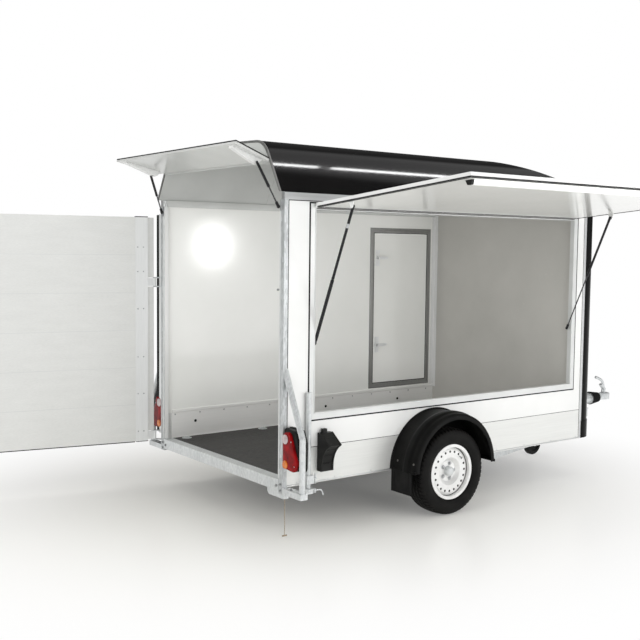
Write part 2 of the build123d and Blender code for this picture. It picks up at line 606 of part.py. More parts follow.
def make_coupling(seat_z):
    """Overrun housing on the drawbar, ribbed bellows, ball coupling with its handle, and the brake lever."""
    base = block((DRAWBAR_NECK_X + 50, DRAWBAR_END_X), (-95, 95), (seat_z, seat_z + 12))
    web = block((DRAWBAR_NECK_X + 70, DRAWBAR_END_X - 20), (-24, 24), (seat_z, TOW_Z))
    barrel = rod((DRAWBAR_NECK_X + 20, 0, TOW_Z), (HOUSING_FRONT_X, 0, TOW_Z), HOUSING_R)
    flange = rod((HOUSING_FRONT_X - 14, 0, TOW_Z), (HOUSING_FRONT_X, 0, TOW_Z), HOUSING_R + 8)
    bore = rod((HOUSING_FRONT_X - 150, 0, TOW_Z), (HOUSING_FRONT_X, 0, TOW_Z), DRAW_TUBE_R + PLAY)
    pivot_x = (DRAWBAR_NECK_X + DRAWBAR_END_X) / 2
    pivot = rod((pivot_x, 0, TOW_Z), (pivot_x, LEVER_Y, TOW_Z), LEVER_GRIP_R)
    export("overrun_housing", base + web + barrel + flange + pivot - bore)

    pitch = (BELLOWS_FRONT_X - HOUSING_FRONT_X) / BELLOWS_RIDGES
    bore_z = TOW_Z + DRAW_TUBE_R + PLAY
    outline = [(HOUSING_FRONT_X, 0, bore_z)]
    for index in range(BELLOWS_RIDGES):
        x = HOUSING_FRONT_X + index * pitch
        outline += [(x, 0, TOW_Z + BELLOWS_LOW_R), (x + pitch / 2, 0, TOW_Z + BELLOWS_HIGH_R)]
    outline += [(BELLOWS_FRONT_X, 0, TOW_Z + BELLOWS_LOW_R), (BELLOWS_FRONT_X, 0, bore_z)]
    export("bellows", spin(outline, Axis((0, 0, TOW_Z), (1, 0, 0))))

    tube = rod((HOUSING_FRONT_X - 140, 0, TOW_Z), (BELLOWS_FRONT_X + 10, 0, TOW_Z), DRAW_TUBE_R)
    collar = rod((BELLOWS_FRONT_X, 0, TOW_Z), (BELLOWS_FRONT_X + 40, 0, TOW_Z), 34)
    head_low, head_top = TOW_Z - 25, TOW_Z + 38
    plan = make_hull((Pos(TOW_X, 0) * Circle(HEAD_HALF) + Pos(BELLOWS_FRONT_X + 44, 0) * Circle(28)).edges())
    head = extrude(Pos(0, 0, head_low) * plan, amount=head_top - head_low)
    head = fillet(head.faces().sort_by(Axis.Z)[-1].edges(), 16)
    socket = rod((TOW_X, 0, head_low), (TOW_X, 0, TOW_Z + 12), TOW_BALL_R)
    grip = [(TOW_X - 20, 0, head_top - 8), (TOW_X - 6, 0, head_top + 40), (TOW_X - 60, 0, head_top + 92),
            (TOW_X - 76, 0, head_top + 76), (TOW_X - 34, 0, head_top + 34), (TOW_X - 44, 0, head_top - 8)]
    handle = Pos(0, -15, 0) * prism(grip, (0, 1, 0), 30)
    export("coupling_head", tube + collar + head + handle - socket)

    half, end_x, end_z = LEVER_HALF, pivot_x - LEVER_REACH, TOW_Z + LEVER_RISE
    lever = [(pivot_x - half, 0, TOW_Z - half), (pivot_x + half, 0, TOW_Z - half),
             (pivot_x + half, 0, TOW_Z + half), (end_x, 0, end_z + half), (end_x - half, 0, end_z)]
    stem = Pos(0, LEVER_Y, 0) * prism(lever, (0, 1, 0), 12)
    grip_y = LEVER_Y + 6
    knob = rod((end_x, grip_y, end_z), (end_x - LEVER_GRIP[0], grip_y, end_z + LEVER_GRIP[1]), LEVER_GRIP_R)
    export("handbrake_lever", stem + knob)


def make_jockey():
    """Jockey wheel: clamped post with its crank, swivelling fork, and solid wheel."""
    wheel_x = JOCKEY_X - JOCKEY_TRAIL
    post = rod((JOCKEY_X, 0, JOCKEY_LOW_Z + 20), (JOCKEY_X, 0, JOCKEY_TOP_Z), JOCKEY_TUBE_R)
    post += rod((JOCKEY_X, 0, JOCKEY_LOW_Z), (JOCKEY_X, 0, JOCKEY_LOW_Z + 20), JOCKEY_INNER_R)
    post -= rod((JOCKEY_X, 0, JOCKEY_LOW_Z), (JOCKEY_X, 0, JOCKEY_LOW_Z + 50), JOCKEY_PIN_R + PLAY)
    crank_z = JOCKEY_TOP_Z + 30
    post += rod((JOCKEY_X, 0, JOCKEY_TOP_Z - 5), (JOCKEY_X, 0, crank_z + 8), 9)
    post += rod((JOCKEY_X, 0, crank_z), (JOCKEY_X - 130, 0, crank_z), 8)
    post += rod((JOCKEY_X - 122, 0, crank_z), (JOCKEY_X - 122, 0, crank_z + 75), 12)
    export("jockey_post", post)

    crown = (JOCKEY_LOW_Z - 16, JOCKEY_LOW_Z - 4)
    leg_half = JOCKEY_HALF + 6
    fork = rod((JOCKEY_X, 0, crown[0]), (JOCKEY_X, 0, JOCKEY_LOW_Z + 45), JOCKEY_PIN_R)
    fork += rod((JOCKEY_X, 0, crown[0]), (JOCKEY_X, 0, crown[1]), JOCKEY_INNER_R)
    fork += block((wheel_x - 20, JOCKEY_X + 20), (-leg_half - 5, leg_half + 5), crown)
    boss = Pos(wheel_x, JOCKEY_R) * Circle(20)
    root = Pos(JOCKEY_X - 20, crown[0] - 10) * Circle(34)
    window = Pos(JOCKEY_X, crown[1] / 2) * Rectangle(3 * JOCKEY_R, crown[1])
    leg_face = make_hull((boss + root).edges()) & window
    for side in (1, -1):
        inner = -side * leg_half
        fork += Pos(0, -inner, 0) * extrude(Plane.XZ * leg_face, amount=-side * 5)
    fork += rod((wheel_x, -leg_half - 9, JOCKEY_R), (wheel_x, leg_half + 9, JOCKEY_R), JOCKEY_PIN_R)
    export("jockey_fork", fork)

    tyre = Axis((wheel_x, 0, JOCKEY_R), (0, 1, 0))
    outline = [(JOCKEY_PIN_R + PLAY, 30), (26, 30), (26, 14), (62, 14), (66, JOCKEY_HALF), (84, JOCKEY_HALF),
               (JOCKEY_R, 15)]
    near = [(wheel_x, y, JOCKEY_R + r) for r, y in outline]
    far = [(wheel_x, -y, JOCKEY_R + r) for r, y in reversed(outline)]
    export("jockey_wheel", spin(near + far, tyre))


def make_wheel(name, side):
    """Tyre, pressed steel rim with its ring of round holes, and the brake drum with its hub."""
    axis = Axis((0, 0, TYRE_R), (0, 1, 0))

    def at(y, radius):
        return (0, side * (WHEEL_Y + y), TYRE_R + radius)

    shoulder_y, shoulder_r = TYRE_HALF - 22, TYRE_R - 6
    wall_r = (TYRE_R + SEAT_R) / 2
    seat = SEAT_R + PLAY
    bead_y = RIM_HALF - 7
    section = [
        Line(at(-bead_y, seat), at(bead_y, seat)),
        ThreePointArc(at(bead_y, seat), at(TYRE_HALF, wall_r), at(shoulder_y, shoulder_r)),
        ThreePointArc(at(shoulder_y, shoulder_r), at(0, TYRE_R), at(-shoulder_y, shoulder_r)),
        ThreePointArc(at(-shoulder_y, shoulder_r), at(-TYRE_HALF, wall_r), at(-bead_y, seat)),
    ]
    tyre = revolve(make_face(section), axis=axis)
    flange_keepout = [at(y, r) for y, r in
                      ((RIM_HALF - 7 - PLAY, SEAT_R), (RIM_HALF - 7 - PLAY, RIM_R + PLAY),
                       (2 * RIM_HALF, RIM_R + PLAY), (2 * RIM_HALF, SEAT_R))]
    outer_gap = spin(flange_keepout, axis)
    tyre -= outer_gap
    tyre -= mirror(outer_gap, about=Plane((0, side * WHEEL_Y, 0), z_dir=(0, 1, 0)))
    export(f"tyre_{name}", tyre)

    drop_r = SEAT_R - 26
    skin = RIM_SKIN
    lip = RIM_HALF - skin
    profile = [(-RIM_HALF, RIM_R), (-lip, RIM_R), (-lip, SEAT_R), (-30, SEAT_R), (-16, drop_r), (22, drop_r),
               (36, SEAT_R), (lip, SEAT_R), (lip, RIM_R), (RIM_HALF, RIM_R), (RIM_HALF, SEAT_R - skin),
               (38, SEAT_R - skin), (24, drop_r - skin), (-18, drop_r - skin), (-32, SEAT_R - skin),
               (-RIM_HALF, SEAT_R - skin)]
    rim = spin([at(y, r) for y, r in profile], axis)
    disc_y = DISC_OFFSET
    band_y, band_r = disc_y + DISC_DISH, WHEEL_HOLE_CIRCLE + 1.4 * WHEEL_HOLE_R
    face = [(disc_y, HUB_BORE_R), (disc_y, HUB_R), (band_y, HUB_R + 26), (band_y, band_r),
            (band_y - DISC_DISH / 2, SEAT_R - skin + 1)]
    disc = [at(y, r) for y, r in face] + [at(y + DISC_THICK, r) for y, r in reversed(face)]
    rim += spin(disc, axis)
    turn = 360 / WHEEL_HOLES
    hole = rod(at(disc_y + DISC_DISH / 2, WHEEL_HOLE_CIRCLE), at(RIM_HALF, WHEEL_HOLE_CIRCLE), WHEEL_HOLE_R)
    for index in range(WHEEL_HOLES):
        rim -= hole.rotate(axis, index * turn)
    export(f"rim_{name}", rim)

    bore = STUB_R + PLAY
    hub_out = disc_y + DISC_THICK + 34
    back, front, neck_r = -DRUM_HALF - 40, -DRUM_HALF + 32, HUB_BORE_R - PLAY
    hub = [(back, bore), (back, DRUM_R), (front - 6, DRUM_R), (front, DRUM_R - 6), (front, HUB_R + 6),
           (disc_y, HUB_R), (disc_y, neck_r), (hub_out - 8, neck_r), (hub_out, neck_r - 9), (hub_out, 0),
           (disc_y - 18, 0), (disc_y - 18, bore)]
    export(f"drum_{name}", spin([at(y, r) for y, r in hub], axis))


def make_fenders():
    """Half-round plastic fenders with a turned-down outer lip, and the rubber flaps behind the wheels."""
    end = math.degrees(math.asin((FENDER_END_Z - FENDER_Z) / FENDER_R))

    def band(outer, inner, ys):
        ring = Circle(outer) - Circle(inner)
        low = outer * math.sin(math.radians(end))
        window = Polyline((-outer, outer), (outer, outer), (outer, low), (-outer, low), close=True)
        ring = ring & make_face(window)
        solid = extrude(Plane.XZ * ring, amount=ys[1] - ys[0])
        return Pos(FENDER_X, -ys[0], FENDER_Z) * solid

    fender = band(FENDER_R, FENDER_R - FENDER_SKIN, (BODY_HALF, FENDER_EDGE))
    fender += band(FENDER_R, FENDER_R - FENDER_LIP, (FENDER_EDGE - FENDER_SKIN, FENDER_EDGE))
    rib_edge = FENDER_EDGE - FENDER_RIB
    fender += band(FENDER_R + FENDER_RIB_RISE, FENDER_R - FENDER_SKIN, (rib_edge - FENDER_RIB, rib_edge))
    export("fenders", *both_sides(fender))
    rear_x = FENDER_X - FENDER_R * math.cos(math.radians(end))
    near, top = -BODY_HALF - MUDFLAP_GAP, FENDER_END_Z
    flap = block((rear_x, rear_x + FENDER_SKIN), (near - MUDFLAP_WIDTH, near), (top - MUDFLAP_HEIGHT, top))
    export("mudflaps", *both_sides(flap))


def make_corner_fittings():
    """Lamp brackets of bent tube, tail lamps, raised prop stands, and the wheel chock."""
    tube_x = REAR_X + BRACKET_R + 6
    base_z = (POST_LOW_Z, POST_LOW_Z + BRACKET_BASE_HEIGHT)
    bend = Vector(tube_x, -BRACKET_Y, BRACKET_BEND_Z)
    crossing = Vector(tube_x, -BODY_HALF - BRACKET_TOP_OUT, BRACKET_TOP_Z)
    path = Polyline((tube_x, -BRACKET_Y, sum(base_z) / 2), bend, bend + (crossing - bend) * BRACKET_RUN_ON)
    tube = sweep(Plane(path @ 0, z_dir=path % 0) * Circle(BRACKET_R), path=path, transition=Transition.RIGHT)
    tube &= block((REAR_X, 0), (-2 * BODY_HALF, -BODY_HALF), (0, 2 * BRACKET_TOP_Z))
    base = block((REAR_X, REAR_X + 54), (-BODY_HALF, -BRACKET_Y - BRACKET_R), base_z)
    export("lamp_brackets", *both_sides(tube + base))

    lamp_edge = -BODY_HALF - LAMP_OUT
    back_x = tube_x + BRACKET_R + PLAY
    back = block((back_x, back_x + LAMP_BACK), (-BODY_HALF, lamp_edge), (LAMP_LOW_Z, LAMP_TOP_Z))
    lens_x = back_x - LAMP_LENS
    near, far, bevel = -BODY_HALF - 4, lamp_edge + 30, 30
    corners = [(near, LAMP_LOW_Z + bevel), (far + bevel, LAMP_LOW_Z), (far, LAMP_LOW_Z + bevel / 2),
               (near - LAMP_CROWN, LAMP_TOP_Z), (near - bevel, LAMP_TOP_Z), (near, LAMP_TOP_Z - bevel)]
    lens = prism([(lens_x, y, z) for y, z in corners], (1, 0, 0), LAMP_LENS)
    export("tail_lamps", *both_sides(back + lens))

    prop_y = -BODY_HALF - PROP_OUT
    leg = rod((PROP_X, prop_y, PROP_LOW_Z), (PROP_X, prop_y, PROP_TOP_Z), PROP_R)
    foot = rod((PROP_X, prop_y, PROP_LOW_Z - PROP_FOOT), (PROP_X, prop_y, PROP_LOW_Z), PROP_FOOT_R)
    clamp_half, clamp_z = PROP_CLAMP / 2, PLANK_LOW_Z + PROP_CLAMP_RISE
    clamp = block((PROP_X - clamp_half, PROP_X + clamp_half), (-BODY_HALF, prop_y - clamp_half),
                  (clamp_z, clamp_z + PROP_CLAMP))
    screw_x, screw_z = PROP_X + clamp_half, clamp_z + clamp_half
    toggle_x = screw_x + PROP_SCREW - PROP_SCREW_R
    screw = rod((screw_x, prop_y, screw_z), (screw_x + PROP_SCREW, prop_y, screw_z), PROP_SCREW_R)
    toggle = rod((toggle_x, prop_y, screw_z - PROP_TOGGLE), (toggle_x, prop_y, screw_z + PROP_TOGGLE),
                 PROP_SCREW_R - 2)
    export("prop_stands", *both_sides(leg + foot + clamp + screw + toggle))

    xs = (CHOCK_X - CHOCK_WIDTH / 2, CHOCK_X + CHOCK_WIDTH / 2)
    top = CHOCK_LOW_Z + CHOCK_HEIGHT
    tip = (-BODY_HALF - CHOCK_REACH, top - CHOCK_TIP_DROP)
    toe = (-BODY_HALF - CHOCK_TOE, CHOCK_LOW_Z)
    crest = (-BODY_HALF - CHOCK_CREST, top)
    hollow = (-BODY_HALF - CHOCK_HOLLOW[0], CHOCK_LOW_Z + CHOCK_HOLLOW[1])
    side = make_face([
        Line((-BODY_HALF, CHOCK_LOW_Z), (-BODY_HALF, top)),
        Line((-BODY_HALF, top), crest),
        Line(crest, tip),
        ThreePointArc(tip, hollow, toe),
        Line(toe, (-BODY_HALF, CHOCK_LOW_Z)),
    ])
    chock = extrude(Plane.YZ.offset(xs[0]) * side, amount=CHOCK_WIDTH)
    knob_width, knob_depth, knob_height = CHOCK_KNOB
    knob_y = -BODY_HALF - CHOCK_CREST
    knob = block((CHOCK_X - knob_width, CHOCK_X), (knob_y, knob_y + knob_depth), (top, top + knob_height))
    export("wheel_chock", chock + knob)


def make_rear_door():
    """Plank door between two stiles, hung on strap hinges, with a locking bar on its outer face."""
    inner_x = REAR_X - DOOR_GAP
    xs = (inner_x - DOOR_THICK, inner_x)
    left_y, right_y = BODY_HALF, -BODY_HALF + 3
    span = (right_y + DOOR_STILE, left_y - DOOR_STILE)
    pitch = (DOOR_TOP_Z - DOOR_LOW_Z) / DOOR_PLANKS
    panel = block(xs, span, (DOOR_LOW_Z, DOOR_TOP_Z))
    groove, skin = 3.0, 3.0
    for index in range(DOOR_PLANKS):
        low = DOOR_LOW_Z + index * pitch
        panel -= block((xs[0] + skin, xs[1] - skin), span, (low + skin, low + pitch - skin))
        if index:
            for x in xs:
                panel -= block((x - 1.5, x + 1.5), span, (low - groove / 2, low + groove / 2))
    export("rear_door_panel", rear_door_pose(panel))

    frame = []
    for ys in ((left_y - DOOR_STILE, left_y), (right_y, right_y + DOOR_STILE)):
        stile = block(xs, ys, (DOOR_LOW_Z, DOOR_TOP_Z))
        stile -= block((xs[0] + skin, xs[1] - skin), (ys[0] + skin, ys[1] - skin), (DOOR_LOW_Z, DOOR_TOP_Z))
        frame.append(stile)
    for z in DOOR_HINGE_ZS:
        zs = (z - KNUCKLE_HALF, z + KNUCKLE_HALF)
        strap = block((DOOR_HINGE_X - 6, DOOR_HINGE_X + 6), (left_y, DOOR_HINGE_Y), zs)
        low_end, top_end = [(DOOR_HINGE_X, DOOR_HINGE_Y, end) for end in zs]
        eye = rod(low_end, top_end, KNUCKLE_R)
        hole = rod(low_end, top_end, HINGE_PIN_R + PLAY)
        frame[0] += strap + eye - hole
    export("rear_door_frame", *[rear_door_pose(piece) for piece in frame])

    bar_x, bar_y = xs[0] - LOCK_BAR_OUT, right_y + DOOR_STILE / 2
    bar = rod((bar_x, bar_y, DOOR_LOW_Z + LOCK_END), (bar_x, bar_y, DOOR_TOP_Z - LOCK_END), LOCK_BAR_R)
    half_y, half_z = LOCK_KEEPER[0] / 2, LOCK_KEEPER[1] / 2
    middle_z = (DOOR_LOW_Z + DOOR_TOP_Z) / 2 + LOCK_MIDDLE_RISE
    for z in (DOOR_LOW_Z + LOCK_KEEPER_INSET, middle_z, DOOR_TOP_Z - LOCK_KEEPER_INSET):
        bar += block((xs[0], bar_x - LOCK_BAR_R - skin), (bar_y - half_y, bar_y + half_y),
                     (z - half_z, z + half_z))
    bar += block((bar_x - LOCK_BAR_R + 1, bar_x + LOCK_BAR_R / 2), (bar_y, bar_y + LOCK_GRIP),
                 (LOCK_GRIP_Z - LOCK_END, LOCK_GRIP_Z + LOCK_END))
    export("rear_door_lock", rear_door_pose(bar))


def make_side_flap():
    """Sales flap: white panel in an aluminium edge frame, light bar inside, lock with its dome outside."""
    inner_y = -BODY_HALF - SIDE_FLAP_GAP
    ys = (inner_y - SIDE_FLAP_THICK, inner_y)
    xs = (HATCH_REAR_X - SIDE_FLAP_LAP, HATCH_FRONT_X + SIDE_FLAP_LAP)
    zs = (SIDE_HINGE_Z - HINGE_LEAF - SIDE_FLAP_LENGTH, SIDE_HINGE_Z - HINGE_LEAF)
    edge = SIDE_FLAP_EDGE
    core_x, core_z = (xs[0] + edge, xs[1] - edge), (zs[0] + edge, zs[1] - edge)
    core = block(core_x, (ys[0] + 2, ys[1] - 2), core_z)
    export("side_flap_panel", side_flap_pose(core))
    frame = block(xs, ys, zs) - block(core_x, ys, core_z)
    strut_z = SIDE_HINGE_Z - SIDE_STRUT_REACH
    strut_y = -BODY_HALF - SIDE_HINGE_OUT + SIDE_STRUT_DROP
    lug = make_hull((Pos(strut_y, strut_z) * Circle(STRUT_LUG_R)
                     + Pos(inner_y, strut_z) * Rectangle(2, 4 * STRUT_LUG_R)).edges())
    for face, strut in zip((HATCH_REAR_X, HATCH_FRONT_X), SIDE_STRUT_XS):
        inward = math.copysign(1, strut - face)
        near, far = face + inward * LUG_CLEAR, strut - inward * (STRUT_R + PLAY)
        frame += extrude(Plane.YZ.offset(min(near, far)) * lug, amount=abs(far - near))
    hinge_y = -BODY_HALF - SIDE_HINGE_OUT
    leaf = rod((xs[0], hinge_y, SIDE_HINGE_Z), (xs[1], hinge_y, SIDE_HINGE_Z), FLAP_KNUCKLE_R)
    leaf += block(xs, (hinge_y - LEAF_HALF, hinge_y + LEAF_HALF), (zs[1], SIDE_HINGE_Z))
    for x in SIDE_KNUCKLE_XS:
        gap = FLAP_KNUCKLE_HALF + PLAY
        leaf -= block((x - gap, x + gap), (hinge_y - HINGE_LEAF, hinge_y + HINGE_LEAF),
                      (zs[1], SIDE_HINGE_Z + HINGE_LEAF))
    frame += leaf
    export("side_flap_frame", side_flap_pose(frame))

    bar_low = HATCH_LOW_Z + 14
    bar_x = (HATCH_REAR_X + 60, HATCH_FRONT_X - 60)
    light = prism([(bar_x[0], inner_y - 2, bar_low), (bar_x[0], inner_y + 26, bar_low + 8),
                   (bar_x[0], inner_y + 26, bar_low + 34), (bar_x[0], inner_y - 2, bar_low + 48)],
                  (1, 0, 0), bar_x[1] - bar_x[0])
    export("side_flap_light", side_flap_pose(light))

    lock_x, lock_z = (xs[0] + xs[1]) / 2, zs[0] + 120
    dome = spin([(lock_x, ys[0] + 2, lock_z), (lock_x, ys[0] - 22, lock_z), (lock_x, ys[0] - 18, lock_z + 30),
                 (lock_x, ys[0] - 6, lock_z + 44), (lock_x, ys[0] + 2, lock_z + 46)],
                Axis((lock_x, 0, lock_z), (0, 1, 0)))
    bolt = block((lock_x - 45, lock_x + 45), (inner_y - 2, inner_y + 14), (lock_z - 14, lock_z + 14))
    export("side_flap_lock", side_flap_pose(dome), side_flap_pose(bolt))


def make_rear_flap():
    """Rear flap: trapezoid panel that closes under the roof's rear edge, and its two side stiffeners."""
    xs = (REAR_HINGE_X - 5, REAR_HINGE_X - 5 + REAR_FLAP_THICK)
    top = REAR_HINGE_Z - HINGE_LEAF
    low = top - REAR_FLAP_LENGTH
    panel = prism([(xs[0], -REAR_FLAP_LOW_HALF, low), (xs[0], REAR_FLAP_LOW_HALF, low),
                   (xs[0], REAR_FLAP_TOP_HALF, top), (xs[0], -REAR_FLAP_TOP_HALF, top)],
                  (1, 0, 0), REAR_FLAP_THICK)
    knuckle_half = REAR_FLAP_TOP_HALF - 30
    hinge_ends = [(REAR_HINGE_X, y, REAR_HINGE_Z) for y in (-knuckle_half, knuckle_half)]
    leaf = rod(*hinge_ends, FLAP_KNUCKLE_R)
    leaf += block((REAR_HINGE_X - LEAF_HALF, REAR_HINGE_X + LEAF_HALF), (-knuckle_half, knuckle_half),
                  (top, REAR_HINGE_Z))
    for y in REAR_KNUCKLE_YS:
        gap = FLAP_KNUCKLE_HALF + PLAY
        leaf -= block((REAR_HINGE_X - HINGE_LEAF, REAR_HINGE_X + HINGE_LEAF), (y - gap, y + gap),
                      (top, REAR_HINGE_Z + HINGE_LEAF))
    export("rear_flap_panel", rear_flap_pose(panel + leaf))

    pin_z = REAR_HINGE_Z - REAR_STRUT_REACH
    pin_x = REAR_HINGE_X + REAR_STRUT_DROP
    side = prism([(xs[1], 0, pin_z + 45), (pin_x + 8, 0, pin_z + 18), (pin_x + 8, 0, pin_z - 18),
                  (xs[1] + 12, 0, low + 22), (xs[1], 0, low + 22)], (0, 1, 0), STIFFENER_THICK)
    pin_y = -REAR_STRUT_TOP_Y + STRUT_R + PLAY
    side = side.rotate(Axis((0, 0, pin_z), (1, 0, 0)), -STIFFENER_LEAN)
    side = Pos(0, pin_y + 4, 0) * side
    pin = rod((pin_x, pin_y, pin_z), (pin_x, pin_y + 8, pin_z), STRUT_STUD_R)
    export("rear_flap_sides", *[rear_flap_pose(piece) for piece in both_sides(side + pin)])


def strut_pair(tops, lows, barrel, rod_length):
    """Barrels and rods of a pair of gas struts, each barrel bored for the travel of its rod."""
    barrels, rods = [], []
    for top, low in zip(tops, lows):
        top, low = Vector(*top), Vector(*low)
        along = (low - top).normalized()
        tube = rod(top + along * (STRUT_EYE_R - 2), top + along * barrel, STRUT_R)
        tube += Pos(*top) * Sphere(STRUT_EYE_R)
        tube -= rod(top + along * (STRUT_EYE_R + 4), top + along * barrel, STRUT_STUD_R + PLAY)
        barrels.append(tube)
        rods.append(rod(low, low - along * rod_length, STRUT_STUD_R) + Pos(*low) * Sphere(STRUT_EYE_R))
    return barrels, rods


def make_struts():
    """Two struts under the sales flap and two beside the rear flap, at their open length."""
    hinge = Vector(0, -BODY_HALF - SIDE_HINGE_OUT, SIDE_HINGE_Z)
    closed = hinge + Vector(0, SIDE_STRUT_DROP, -SIDE_STRUT_REACH)
    tops = [side_flap_pose(Vertex(x, closed.Y, closed.Z)).center() for x in SIDE_STRUT_XS]
    lows = [(x, *SIDE_STRUT_LOW) for x in SIDE_STRUT_XS]
    barrels, rods = strut_pair(tops, lows, SIDE_STRUT_BARREL, SIDE_STRUT_ROD)
    export("side_strut_barrels", *barrels)
    export("side_strut_rods", *rods)
    tops, lows = [], []
    for _, side in SIDES:
        pin = Vertex(REAR_HINGE_X + REAR_STRUT_DROP, side * REAR_STRUT_TOP_Y, REAR_HINGE_Z - REAR_STRUT_REACH)
        tops.append(rear_flap_pose(pin).center())
        lows.append((REAR_STRUT_LOW[0], side * REAR_STRUT_LOW[1], REAR_STRUT_LOW[2]))
    barrels, rods = strut_pair(tops, lows, REAR_STRUT_BARREL, REAR_STRUT_ROD)
    export("rear_strut_barrels", *barrels)
    for (name, _), piece in zip(SIDES, rods):
        export(f"rear_strut_rod_{name}", piece)


def make_pass_door():
    """Personnel door: aluminium frame with its hinge pins, leaf as thick as the wall, and two latches."""
    inner_x, front_x = PASS_REAR_X + PASS_FRAME, PASS_FRONT_X - PASS_FRAME
    low, top = PASS_LOW_Z + PASS_FRAME, PASS_TOP_Z - PASS_FRAME
    ring = block((PASS_REAR_X, PASS_FRONT_X), (INNER_HALF, BODY_HALF), (PASS_LOW_Z, PASS_TOP_Z))
    ring -= block((inner_x, front_x), (INNER_HALF, BODY_HALF), (low, top))
    hinge_x, hinge_y = front_x - PASS_GAP / 2, BODY_HALF + PASS_PIN_OUT
    leaf = block((inner_x + PASS_GAP, front_x - PASS_GAP), (INNER_HALF, BODY_HALF),
                 (low + PASS_GAP, top - PASS_GAP))
    ys = (BODY_HALF, BODY_HALF + PASS_HINGE_PLATE)
    for z in PASS_HINGE_ZS:
        low, top = z - PASS_HINGE_HALF, z + PASS_HINGE_HALF
        ring += rod((hinge_x, hinge_y, low), (hinge_x, hinge_y, z - PLAY), PASS_HINGE_R)
        ring += block((hinge_x, front_x + 30), ys, (low, z - PLAY))
        leaf += rod((hinge_x, hinge_y, z), (hinge_x, hinge_y, top), PASS_HINGE_R)
        leaf += block((front_x - 50, hinge_x), ys, (z, top))
    export("pass_door_frame", ring)
    export("pass_door_leaf", leaf)
    latches = []
    for z in PASS_LATCH_ZS:
        plate_x = inner_x + PASS_GAP + PASS_LATCH_INSET
        width, height, thick = PASS_LATCH
        lever_x, half = plate_x + width / 2 - PASS_LEVER_HALF, PASS_LEVER_HALF
        face_y, stem_y = INNER_HALF - thick, INNER_HALF - thick - PASS_LEVER_OUT
        latch = block((plate_x, plate_x + width), (face_y, INNER_HALF), (z - height / 2, z + height / 2))
        latch += block((lever_x, lever_x + 2 * half), (stem_y, face_y), (z - half, z + half))
        latch += block((lever_x, lever_x + PASS_LEVER), (stem_y - PASS_LEVER_THICK, stem_y),
                       (z - half, z + half))
        latches.append(latch)
    export("pass_door_latches", *latches)


def make_cord():
    """Cord that hangs from the sill, with its cross-wise toggle just above the ground."""
    points = [Vector(*point) for point in CORD_POINTS]
    runs = [after - before for before, after in zip(points, points[1:])]
    radii = []
    for before, after in zip(runs, runs[1:]):
        turn = math.radians(before.get_angle(after))
        radii.append(0.45 * min(before.length, after.length) / math.tan(turn / 2))
    path = FilletPolyline(*CORD_POINTS, radius=radii)
    tube = sweep(Plane(path @ 0, z_dir=path % 0) * Circle(CORD_R), path=path)
    export("pull_cord", tube)
    x, y, z = CORD_POINTS[-1]
    z -= TOGGLE_R + PLAY
    export("cord_toggle", rod((x - TOGGLE_HALF, y, z), (x + TOGGLE_HALF, y, z), TOGGLE_R))


os.makedirs("parts", exist_ok=True)
make_roof()
make_nose()
make_side_planks()
make_walls()
make_hatch_frame()
make_edge_profiles()
make_rear_portal()
make_floor()
make_chassis()
coupling_seat_z = make_drawbar()
make_coupling(coupling_seat_z)
make_jockey()
for side_name, side_sign in SIDES:
    make_wheel(side_name, side_sign)
make_fenders()
make_corner_fittings()
make_rear_door()
make_side_flap()
make_rear_flap()
make_struts()
make_pass_door()
make_cord()
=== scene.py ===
"""Looks of the box trailer: a finish for every solid, and the fine pieces that sit on them."""

import logging
import math
from dataclasses import dataclass
from enum import Enum
from functools import lru_cache

import bmesh
import bpy
import numpy as np
from mathutils import Matrix

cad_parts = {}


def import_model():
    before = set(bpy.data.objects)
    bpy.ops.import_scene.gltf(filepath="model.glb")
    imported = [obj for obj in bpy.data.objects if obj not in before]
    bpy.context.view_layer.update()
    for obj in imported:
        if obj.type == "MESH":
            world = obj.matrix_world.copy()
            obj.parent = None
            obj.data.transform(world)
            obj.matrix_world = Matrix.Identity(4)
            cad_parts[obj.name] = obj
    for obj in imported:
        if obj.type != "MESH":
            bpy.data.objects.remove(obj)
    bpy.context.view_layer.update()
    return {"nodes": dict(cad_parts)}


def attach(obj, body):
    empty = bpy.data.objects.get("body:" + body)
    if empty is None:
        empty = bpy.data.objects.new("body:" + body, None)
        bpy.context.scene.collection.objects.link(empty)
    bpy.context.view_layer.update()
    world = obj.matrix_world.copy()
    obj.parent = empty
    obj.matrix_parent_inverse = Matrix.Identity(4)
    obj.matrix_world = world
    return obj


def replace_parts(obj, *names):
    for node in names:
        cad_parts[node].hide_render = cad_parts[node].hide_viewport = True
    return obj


Array = np.ndarray
Socket = bpy.types.NodeSocket
Colour = tuple[float, float, float]
LOG = logging.getLogger("box_trailer")
AXLE_GROUND = np.array([-3.092, 0.0, -0.450])
X, Y, Z = np.eye(3)
MIRROR = np.array([1.0, -1.0, 1.0])
MM = 1000  # millimetres in a metre
MERGE = 1e-6  # points closer than this, in metres, become one
UPRIGHT = 0.9  # share of Z above which an axis counts as upright
RAMP_ENDS = (0.28, 0.72)  # where a pattern's darker tone ends and its lighter tone begins
COAT_ROUGHNESS = 0.04
RIM_SHARE = 0.35  # largest share of a plate's thickness that a softened rim takes
BOLT_8, BOLT_10 = 0.013, 0.017  # widths of the heads of 8 and 10 mm bolts, in metres


def lay(*millimetres: float) -> Array:
    """Point measured in millimetres from the ground under the axle, in the model's metres."""
    return np.asarray(millimetres, float) / MM + AXLE_GROUND


def spread(x: Array | float, y: Array | float, z: Array | float) -> Array:
    """Grid of points in the model's metres from three measures in millimetres that share one shape."""
    return np.stack(np.broadcast_arrays(x, y, z), -1) / MM + AXLE_GROUND


def unit(vector: Array) -> Array:
    """The vector at a length of one."""
    return vector / np.linalg.norm(vector)


def angles(count: int) -> Array:
    """Even angles round a full turn."""
    return np.linspace(0, 2 * math.pi, count, endpoint=False)


